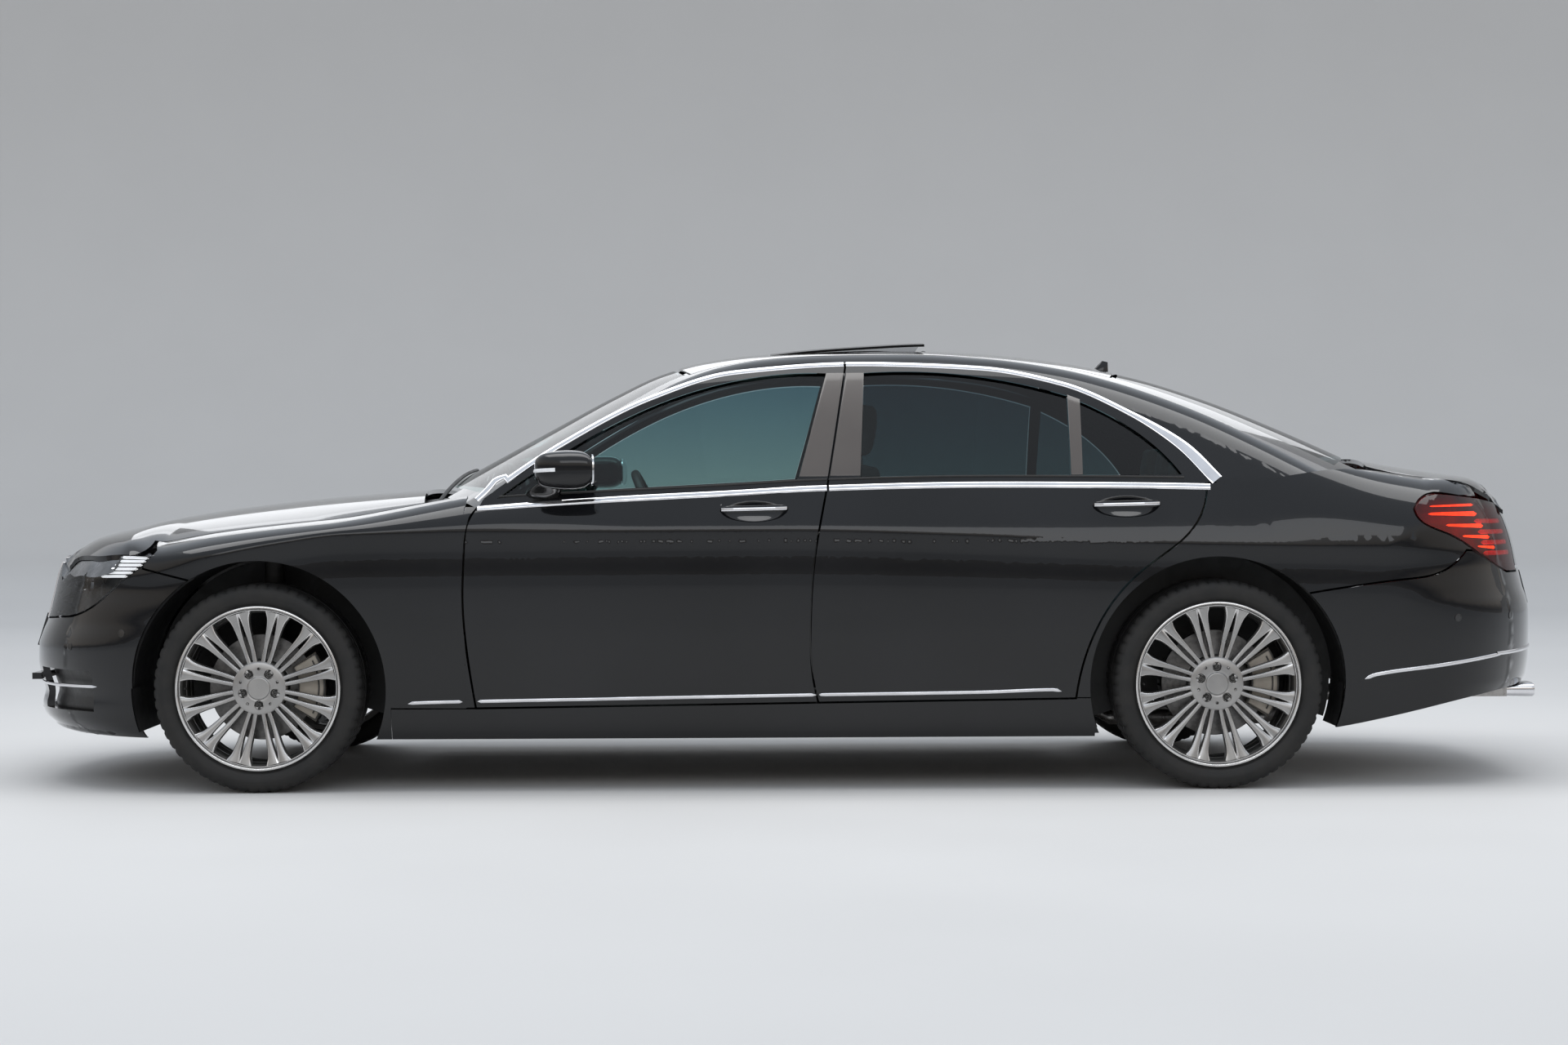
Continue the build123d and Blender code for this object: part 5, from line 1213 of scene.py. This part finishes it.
# grille: bright bars over a dark mesh, with a bright frame
painted("grille", [body_surface], "chassis", paint=CHROME, inner=LAMP_BLACK)
sunk_mesh("grille_mesh", 395, 41, np.linspace(560, 775, 30), 0.042)
FRAME_FOOT = 566
frame_ys = np.linspace(-388, 388, 41)
strip("grille_foot_frame", "chassis", on_end(frame_ys, FRAME_FOOT, -1), 13, 4, CHROME,
      surface=body_surface)
pair("grille_side_frame", "chassis", strip,
     on_end(np.linspace(-392, -398, 16), np.linspace(FRAME_FOOT, 752, 16), -1), 13, 4, CHROME,
     surface=body_surface)
for number, level in enumerate((617, 663, 709)):
    strip(f"grille_bar_{number + 1}", "chassis", on_end(frame_ys, level, -1), 13, 5, CHROME,
          surface=body_surface)
strip("grille_middle_bar", "chassis", on_end(np.full(16, 1.0), np.linspace(572, 750, 16), -1), 22, 4, CHROME,
      surface=body_surface)


def round_end(side, across):
    """A route along the left side, across an end of the car and back along the right side."""
    side = on_side(smooth_path(side))
    return np.concatenate([side, across, (side * (1, -1, 1))[::-1]])


# lower intake behind the bumper, with its blade
sunk_mesh("intake_mesh", 760, 61, np.linspace(225, 480, 24), 0.050)
strip("front_blade", "chassis", round_end([(-2285, 347), (-2360, 346), (-2435, 345)],
                                          on_end(np.linspace(-660, 660, 70), 344, -1)),
      11, 3.5, CHROME, surface=body_surface, taper=12)

# bright strip round the foot of the rear bumper, with the exhaust tips below it
rear_ys = np.linspace(-790, 790, 90)
strip("rear_bumper_strip", "chassis", round_end([(1918, 359), (1950, 373), (2180, 404), (2392, 432)],
                                                on_end(rear_ys, 442 - 8 * (rear_ys / 790) ** 4, 1)),
      13, 4, CHROME, surface=body_surface, taper=12)

TIP_Y = -500
TIP_Z = 296
TIP_PROFILE = ((2440, -4), (2545, -1), (2560, 0), (2564, 2), (2565, 4), (2562, 6), (2552, 6), (2440, 3))


def tip(name, body):
    """A flattened exhaust tip with a rolled lip."""
    wide, tall = squared(round_angles(48), 0.55)
    rows = [np.stack([np.full(48, x), TIP_Y + wide * (66 + grow), TIP_Z + tall * (19 + grow)], axis=1) * MM
            for x, grow in TIP_PROFILE]
    return sheet(name, body, rows, CHROME, closed_columns=True)


pair("exhaust_tip", "chassis", tip)


DEEP = ((-0.5, -14.0), (-0.5, 0.7), (-0.46, 1.0), (0.0, 1.0), (0.46, 1.0), (0.5, 0.7), (0.5, -14.0))


def plate(name, face, slope, end, level):
    """A blank number plate on a dark holder, on a flat place as steep as the bumper there."""
    def flat(x, y, z):
        return end * (x - face - slope * (z - level)) + 0 * y

    for part, half, tall, lift, material, profile in (("holder", 266, 118, 0.3, GLOSS_BLACK, DEEP),
                                                      ("plate", 258, 108, 1.6, PLATE, FLAT)):
        route = np.stack([np.full(21, face), np.linspace(-half, half, 21), np.full(21, level)], axis=1)
        strip(f"{name}_{part}", "chassis", route, tall, lift, material, surface=flat, profile=profile)


plate("front", -2598.0, 0.32, -1, 516.0)
plate("rear", 2605.0, -0.26, 1, 640.0)
strip("boot_grip_strip", "boot_lid", on_end(np.linspace(-330, 330, 41), 742, 1), 20, 5, CHROME,
      surface=body_surface, taper=14)

# parking sensors: small discs set in the bumpers
SENSOR_PROFILE = ((-2, 12.5), (1.2, 12.5), (1.4, 12), (1.4, 10.6), (0.4, 10.2), (0.5, 0.5))


def sensor(name, body, x, z):
    points, out = snapped(on_side([(x, z)]), body_surface)
    rows = rings_about(out[0], points[0], SENSOR_PROFILE, 32)
    return sheet(name, body, rows, GLOSS_BLACK, closed_columns=True)


for number, (x, z) in enumerate(((-2186, 528), (-2388, 478), (2228, 560), (2440, 560))):
    pair(f"parking_sensor_{number + 1}", "chassis", sensor, x, z)


# ================================================================ mirrors, aerial and wipers
def superform(name, body, centre, half, power, material, rows, columns, bend=None):
    """A soft-cornered box: half sizes and corner power for its axes, bent by a function of its points."""
    level_wide, level_high = squared(np.linspace(-math.pi / 2, math.pi / 2, rows)[:, None], power)
    long, wide = squared(np.linspace(-math.pi, math.pi, columns, endpoint=False), power)
    grid = np.stack([level_wide * long, level_wide * wide, level_high + 0 * long], axis=-1)
    if bend:
        grid = bend(grid)
    points = (np.array(centre) + grid * np.array(half)) * MM
    return sheet(name, body, points, material, closed_columns=True, smooth=60)


MIRROR_MIDDLE = (-712, -984, 1060)
MIRROR_HALF = (98, 79, 64)
MIRROR_POWER = 0.55


def mirror_bend(grid):
    """Rounds the front of a mirror shell and draws its outer end in."""
    x, y, z = grid[..., 0], grid[..., 1], grid[..., 2]
    outer = np.clip(-y, 0, 1)
    x2 = np.where(x < 0, x * (1 - 0.35 * np.abs(y) ** 2), x * 0.92) + 0.30 * outer ** 2
    z2 = z * (1 - 0.16 * outer ** 2) * (1 - 0.10 * np.clip(-x, 0, 1)) + 0.05 * outer
    return np.stack([x2, y, z2], axis=-1)


def mirror_shell(name, body):
    return superform(name, body, MIRROR_MIDDLE, MIRROR_HALF, MIRROR_POWER, PAINT, 48, 72, mirror_bend)


def mirror_glass(name, body):
    long, high = squared(round_angles(56), 0.6)
    rows = []
    for share, out in ((1.0, -4), (1.0, 1), (0.97, 2), (0.93, 0.5), (0.5, 0.5), (0.02, 0.5)):
        wide, tall = long * 62 * share, high * 52 * share
        rows.append(np.stack([-622 + out + 0.16 * np.clip(-wide, 0, None), MIRROR_MIDDLE[1] + wide,
                              MIRROR_MIDDLE[2] + tall], axis=1) * MM)
    return sheet(name, body, rows, MIRROR_FACE, GLOSS_BLACK, closed_columns=True)


# sections of the mirror's foot: y, then the middle's x and z, then half its depth and height
FOOT_SECTIONS = ((-880, -790, 978, 62, 24), (-905, -785, 985, 56, 20), (-925, -772, 1000, 50, 18),
                 (-950, -752, 1014, 50, 17), (-975, -735, 1024, 56, 18))


def mirror_foot(name, body):
    turns = round_angles(28)
    rows = [np.stack([x + deep * np.cos(turns), np.full(28, y), z + tall * np.sin(turns)], axis=1) * MM
            for y, x, z, deep, tall in FOOT_SECTIONS]
    return sheet(name, body, rows, GLOSS_BLACK, closed_columns=True, caps=True)


def mirror_lamp(name, body):
    """The bright repeater strip along the front of a mirror shell."""
    s = np.linspace(0, 1, 22)
    y = -930 - 126 * s
    share = np.clip((MIRROR_MIDDLE[1] - y) / MIRROR_HALF[1], -1, 1)
    reach = (1 - np.abs(share) ** 3.6) ** (1 / 3.6)
    forward = -reach * (1 - 0.35 * share ** 2) + 0.30 * np.maximum(share, 0) ** 2
    x = MIRROR_MIDDLE[0] + MIRROR_HALF[0] * forward
    rows = [np.stack([x - out, y, 1052 + 9 * s + up], axis=1) * MM
            for up, out in ((-6, -2), (-6, 1), (-3, 3), (3, 3), (6, 1), (6, -2))]
    return sheet(name, body, rows, LAMP_CLEAR, closed_rows=True, caps=True)


shells = pair("mirror_shell", "left_front_door", mirror_shell)
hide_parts("left_mirror")
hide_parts("right_mirror")
for make in (mirror_glass, mirror_foot, mirror_lamp):
    pair(make.__name__, "left_front_door", make)


def aerial(name, body):
    """A fin on the roof, swept to the rear."""
    turns = round_angles(28)
    rows = []
    for u in np.linspace(0, 1, 14):
        x_from, x_to = 1122 + 34 * u ** 1.2, 1178 - 2 * u
        x = (x_from + x_to) / 2 + (x_to - x_from) / 2 * np.cos(turns)
        half = 11 * (1 - u ** 2.2) + 0.6
        rows.append(np.stack([x, half * np.sin(turns), roof_height(x, 0.0) - 3 + 44 * u], axis=1) * MM)
    return sheet(name, body, rows, PAINT, closed_columns=True, caps=True)


def wiper(name, body, foot, end):
    """A wiper arm and its blade lying on the foot of the windscreen."""
    ys = np.linspace(foot[1], end[1], 26)
    xs = np.linspace(foot[0], end[0], 26)
    zs = roof_height(xs, ys) + 4
    rows = [np.stack([xs + across, ys, zs + up], axis=1) * MM
            for across, up in ((-7, 0), (-7, 5), (-3, 9), (3, 9), (7, 5), (7, 0))]
    return sheet(name, body, rows, PLASTIC, closed_rows=True, caps=True)


aerial("roof_aerial", "chassis")
wiper("left_wiper", "chassis", (-1172, -560), (-1100, 30))
wiper("right_wiper", "chassis", (-1172, 120), (-1085, 640))


# ================================================================ seats and cabin
PAD_CUTS = 26
CUSHION_CHANNELS = (-0.5, -0.2, 0.1, 0.4)
BACK_CHANNELS = (-0.6, -0.35, -0.1, 0.15, 0.4, 0.65)
MIDDLE_CHANNELS = (-0.3, 0.2)


def pad(name, replaced, centre, half, lean, channels=(), bolster=0.0, crown=0.16):
    """A padded form: crowned faces, sides drawn in between the corners, sewn channels and side rolls.

    half is (thickness, width, length); its face looks along the first axis, leaned about the car's width.
    """
    shape = bmesh.new()
    bmesh.ops.create_cube(shape, size=2)
    bmesh.ops.subdivide_edges(shape, edges=shape.edges[:], cuts=PAD_CUTS, use_grid_fill=True)
    cube = np.array([v.co for v in shape.verts])
    t, v, w = cube.T
    sizes = np.array(half, float)
    round_by = 0.42 * sizes[0]
    core = np.clip(cube * sizes, -(sizes - round_by), sizes - round_by)
    rest = cube * sizes - core
    length = np.maximum(np.linalg.norm(rest, axis=1), 1e-6)
    points = core + rest / length[:, None] * np.minimum(length, round_by)[:, None]
    swell = (1 - v ** 2) * (1 - w ** 2)
    points[:, 0] *= 1 - crown + crown * 1.6 * np.clip(swell, 0, 1) ** 0.6
    points[:, 1] *= 1 - 0.05 * (1 - w ** 2)
    points[:, 2] *= 1 - 0.04 * (1 - v ** 2)
    front = t < -0.3
    inner = 1
    if bolster:
        rolled = np.clip((np.abs(v) - 0.55) / 0.3, 0, 1)
        points[:, 0] -= np.where(front, bolster * rolled ** 2 * (1 - w ** 4), 0)
        points[:, 0] += np.where(front, 5 * np.exp(-((np.abs(v) - 0.56) / 0.03) ** 2), 0)
        inner = np.clip((0.56 - np.abs(v)) / 0.08, 0, 1)
    for channel in channels:
        points[:, 0] += np.where(front, 5.5 * np.exp(-((w - channel) / 0.028) ** 2) * inner, 0)
    points *= (1 - 0.012 * np.exp(-((t + 0.55) / 0.05) ** 2))[:, None]
    turn = math.radians(lean)
    x = points[:, 0] * math.cos(turn) + points[:, 2] * math.sin(turn)
    z = -points[:, 0] * math.sin(turn) + points[:, 2] * math.cos(turn)
    placed = (np.stack([x, points[:, 1], z], axis=1) + centre) * MM
    for vert, place_at in zip(shape.verts, placed):
        vert.co = place_at
    piece = from_bmesh(name, shape, "chassis", LEATHER, smooth=70)
    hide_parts(replaced)


for hand, side in HANDS:
    y = side * 385
    pad(f"{hand}_front_seat_cushion", "front_seats", (-95, y, 474), (72, 240, 212), 86, CUSHION_CHANNELS, 18)
    pad(f"{hand}_front_seat_back", "front_seats", (222, y, 812), (66, 236, 272), 13, BACK_CHANNELS, 20)
    pad(f"{hand}_front_headrest", "front_seats", (277, y, 1196), (44, 126, 86), 8, crown=0.22)
    y = side * 375
    pad(f"{hand}_rear_seat_cushion", "rear_seat", (1010, y, 520), (68, 238, 232), 87, CUSHION_CHANNELS, 10)
    pad(f"{hand}_rear_seat_back", "rear_seat", (1350, y, 755), (56, 238, 222), 17, BACK_CHANNELS, 12)
    pad(f"{hand}_rear_headrest", "rear_seat", (1388, side * 400, 1062), (36, 116, 72), 8, crown=0.2)
pad("middle_rear_seat_cushion", "rear_seat", (1010, 0, 520), (60, 128, 226), 87, MIDDLE_CHANNELS)
pad("middle_rear_seat_back", "rear_seat", (1352, 0, 750), (50, 128, 216), 17, MIDDLE_CHANNELS)
pad("middle_rear_headrest", "rear_seat", (1388, 0, 1058), (34, 112, 66), 8, crown=0.2)


def soft_box(name, low, high, material):
    low, high = np.array(low, float), np.array(high, float)
    superform(name, "chassis", (low + high) / 2, (high - low) / 2, 0.22, material, 20, 36)


for hand, side in HANDS:
    y = side * 385
    soft_box(f"{hand}_front_seat_base", (-245, y - 195, 216), (175, y + 195, 398), PLASTIC)
    y = side * 375
    soft_box(f"{hand}_rear_seat_base", (822, y - 186, 216), (983, y + 186, 446), PLASTIC)
    for offset, rod in ((-55, "in"), (55, "out")):
        for seat, x, y, z_from, z_to in (("front", 272, side * 385 + offset, 1060, 1150),
                                         ("rear", 1392, side * 400 + offset, 950, 1030)):
            turns = round_angles(16)
            rows = [np.stack([x + 6 * np.cos(turns), y + 6 * np.sin(turns), np.full(16, z)], axis=1) * MM
                    for z in np.linspace(z_from, z_to, 5)]
            sheet(f"{hand}_{seat}_headrest_rod_{rod}", "chassis", rows, CHROME, closed_columns=True,
                  caps=True)


# dashboard dressing: a wood band, middle vents, a screen and a hood over the instruments
def band(name, z_low, z_high, half_y, lift, material):
    rows = [[(float(np.interp(z, (770, 860, 930), (-720, -680, -700))) + out, y, z)
             for y in np.linspace(-half_y, half_y, 40)]
            for z, out in ((z_low, 0), (z_low, lift), ((z_low + z_high) / 2, lift + 1.5),
                           (z_high, lift), (z_high, 0))]
    sheet(name, "chassis", np.array(rows) * MM, material, closed_rows=True, caps=True)


band("dash_wood_band", 800, 836, 700, 4, WOOD)
band("dash_middle_vents", 842, 884, 120, 3, GLOSS_BLACK)
soft_box("dash_screen", (-742, -130, 905), (-712, 130, 1004), SCREEN)
soft_box("cluster_hood", (-800, -560, 925), (-690, -200, 1012), DARK_LEATHER)
soft_box("console_wood", (-640, -88, 580), (120, 88, 600), WOOD)
soft_box("console_armrest", (-180, -110, 585), (130, 110, 640), LEATHER)
soft_box("interior_mirror", (-498, -120, 1308), (-470, 120, 1366), GLOSS_BLACK)

# plain materials for what the CAD already shows as it is
PLAIN = {"floor_pan": CARPET, "cowl": PLASTIC, "left_wheelhouses": PLASTIC, "right_wheelhouses": PLASTIC,
         "engine": ALUMINIUM, "radiator": PLASTIC, "front_subframe": CAST, "rear_axle": CAST,
         "exhaust": STEEL, "dashboard": DARK_LEATHER, "steering_wheel": DARK_LEATHER,
         "left_knuckle": CAST, "right_knuckle": CAST, "sunroof_panel": ROOF_GLASS}
for node, material in PLAIN.items():
    mesh = NODES[node].data
    mesh.materials.clear()
    mesh.materials.append(material)


# ================================================================ studio and camera
FLOOR_REACH = 110
BACKDROP_Y = 26
BACKDROP_ROUND = 8
BACKDROP_TOP = 16
sweep = [(-FLOOR_REACH, 0.0),
         *[(BACKDROP_Y + BACKDROP_ROUND * math.sin(t), BACKDROP_ROUND * (1 - math.cos(t)))
           for t in np.linspace(0, math.pi / 2, 13)],
         (BACKDROP_Y + BACKDROP_ROUND, BACKDROP_TOP)]
floor_shape = grid_mesh([[(x, y, z) for y, z in sweep] for x in (-FLOOR_REACH, FLOOR_REACH)])
floor_mesh = bpy.data.meshes.new("studio_floor")
floor_shape.to_mesh(floor_mesh)
floor_shape.free()
floor_mesh.shade_smooth()
floor = bpy.data.objects.new("studio_floor", floor_mesh)
bpy.context.scene.collection.objects.link(floor)
floor_mesh.materials.append(coating("floor_paint", (0.640, 0.636, 0.628), (0.652, 0.648, 0.640), (0.6, 0.7),
                                             scale=0.7))

# soft light all round: a dim band at the horizon, warm above it, cooler overhead
world = bpy.data.worlds.new("studio")
bpy.context.scene.world = world
world.use_nodes = True
world_nodes = world.node_tree.nodes
world_links = world.node_tree.links
aim = world_nodes.new("ShaderNodeTexCoord")
split = world_nodes.new("ShaderNodeSeparateXYZ")
world_links.new(aim.outputs["Generated"], split.inputs["Vector"])
glow = world_nodes.new("ShaderNodeValToRGB")
SKY = ((0.0, (0.30, 0.29, 0.28)), (0.035, (0.16, 0.16, 0.17)), (0.10, (0.62, 0.57, 0.52)),
       (0.26, (0.80, 0.79, 0.78)), (0.55, (0.66, 0.71, 0.78)), (1.0, (0.74, 0.79, 0.86)))
while len(glow.color_ramp.elements) < len(SKY):
    glow.color_ramp.elements.new(0.5)
for element, (height, colour) in zip(glow.color_ramp.elements, SKY):
    element.position = height
    element.color = (*colour, 1)
world_links.new(split.outputs["Z"], glow.inputs["Fac"])
sky = world_nodes["Background"]
world_links.new(glow.outputs["Color"], sky.inputs["Color"])
sky.inputs["Strength"].default_value = 1.0


def softbox(name, location, target, size, power, colour):
    lamp = bpy.data.lights.new(name, "AREA")
    lamp.shape = "RECTANGLE"
    lamp.size, lamp.size_y = size
    lamp.energy = power
    lamp.color = colour
    holder = bpy.data.objects.new(name, lamp)
    bpy.context.scene.collection.objects.link(holder)
    holder.location = location
    holder.rotation_euler = (Vector(target) - Vector(location)).to_track_quat("-Z", "Y").to_euler()


for name, y, z, aim_z, size, power, colour in (
        ("overhead", -0.5, 5.5, 0.5, (9, 3.0), 250, (1, 1, 1)),
        ("side_fill", -9.5, 4.5, 0.7, (10, 2.5), 120, (0.95, 0.97, 1.0)),
        ("far_fill", 9.5, 4.5, 0.7, (10, 2.5), 90, (0.95, 0.97, 1.0))):
    softbox(name, (0, y, z), (0, 0, aim_z), size, power, colour)

CAMERA_PLACE = (-0.022, -10.5, 1.015)
CAMERA_YAW = -0.16
CAMERA_PITCH = 0.779
CAMERA_ROLL = -0.275
CAMERA_LENS = 66.9
camera_data = bpy.data.cameras.new("camera")
camera_data.lens = CAMERA_LENS
camera_data.sensor_width = 36
camera = bpy.data.objects.new("camera", camera_data)
bpy.context.scene.collection.objects.link(camera)
camera.matrix_world = (Matrix.Translation(CAMERA_PLACE) @ Matrix.Rotation(math.radians(CAMERA_YAW), 4, "Z")
                       @ Matrix.Rotation(math.radians(90 - CAMERA_PITCH), 4, "X")
                       @ Matrix.Rotation(math.radians(CAMERA_ROLL), 4, "Z"))
bpy.context.scene.camera = camera
bpy.context.scene.view_settings.view_transform = "Standard"
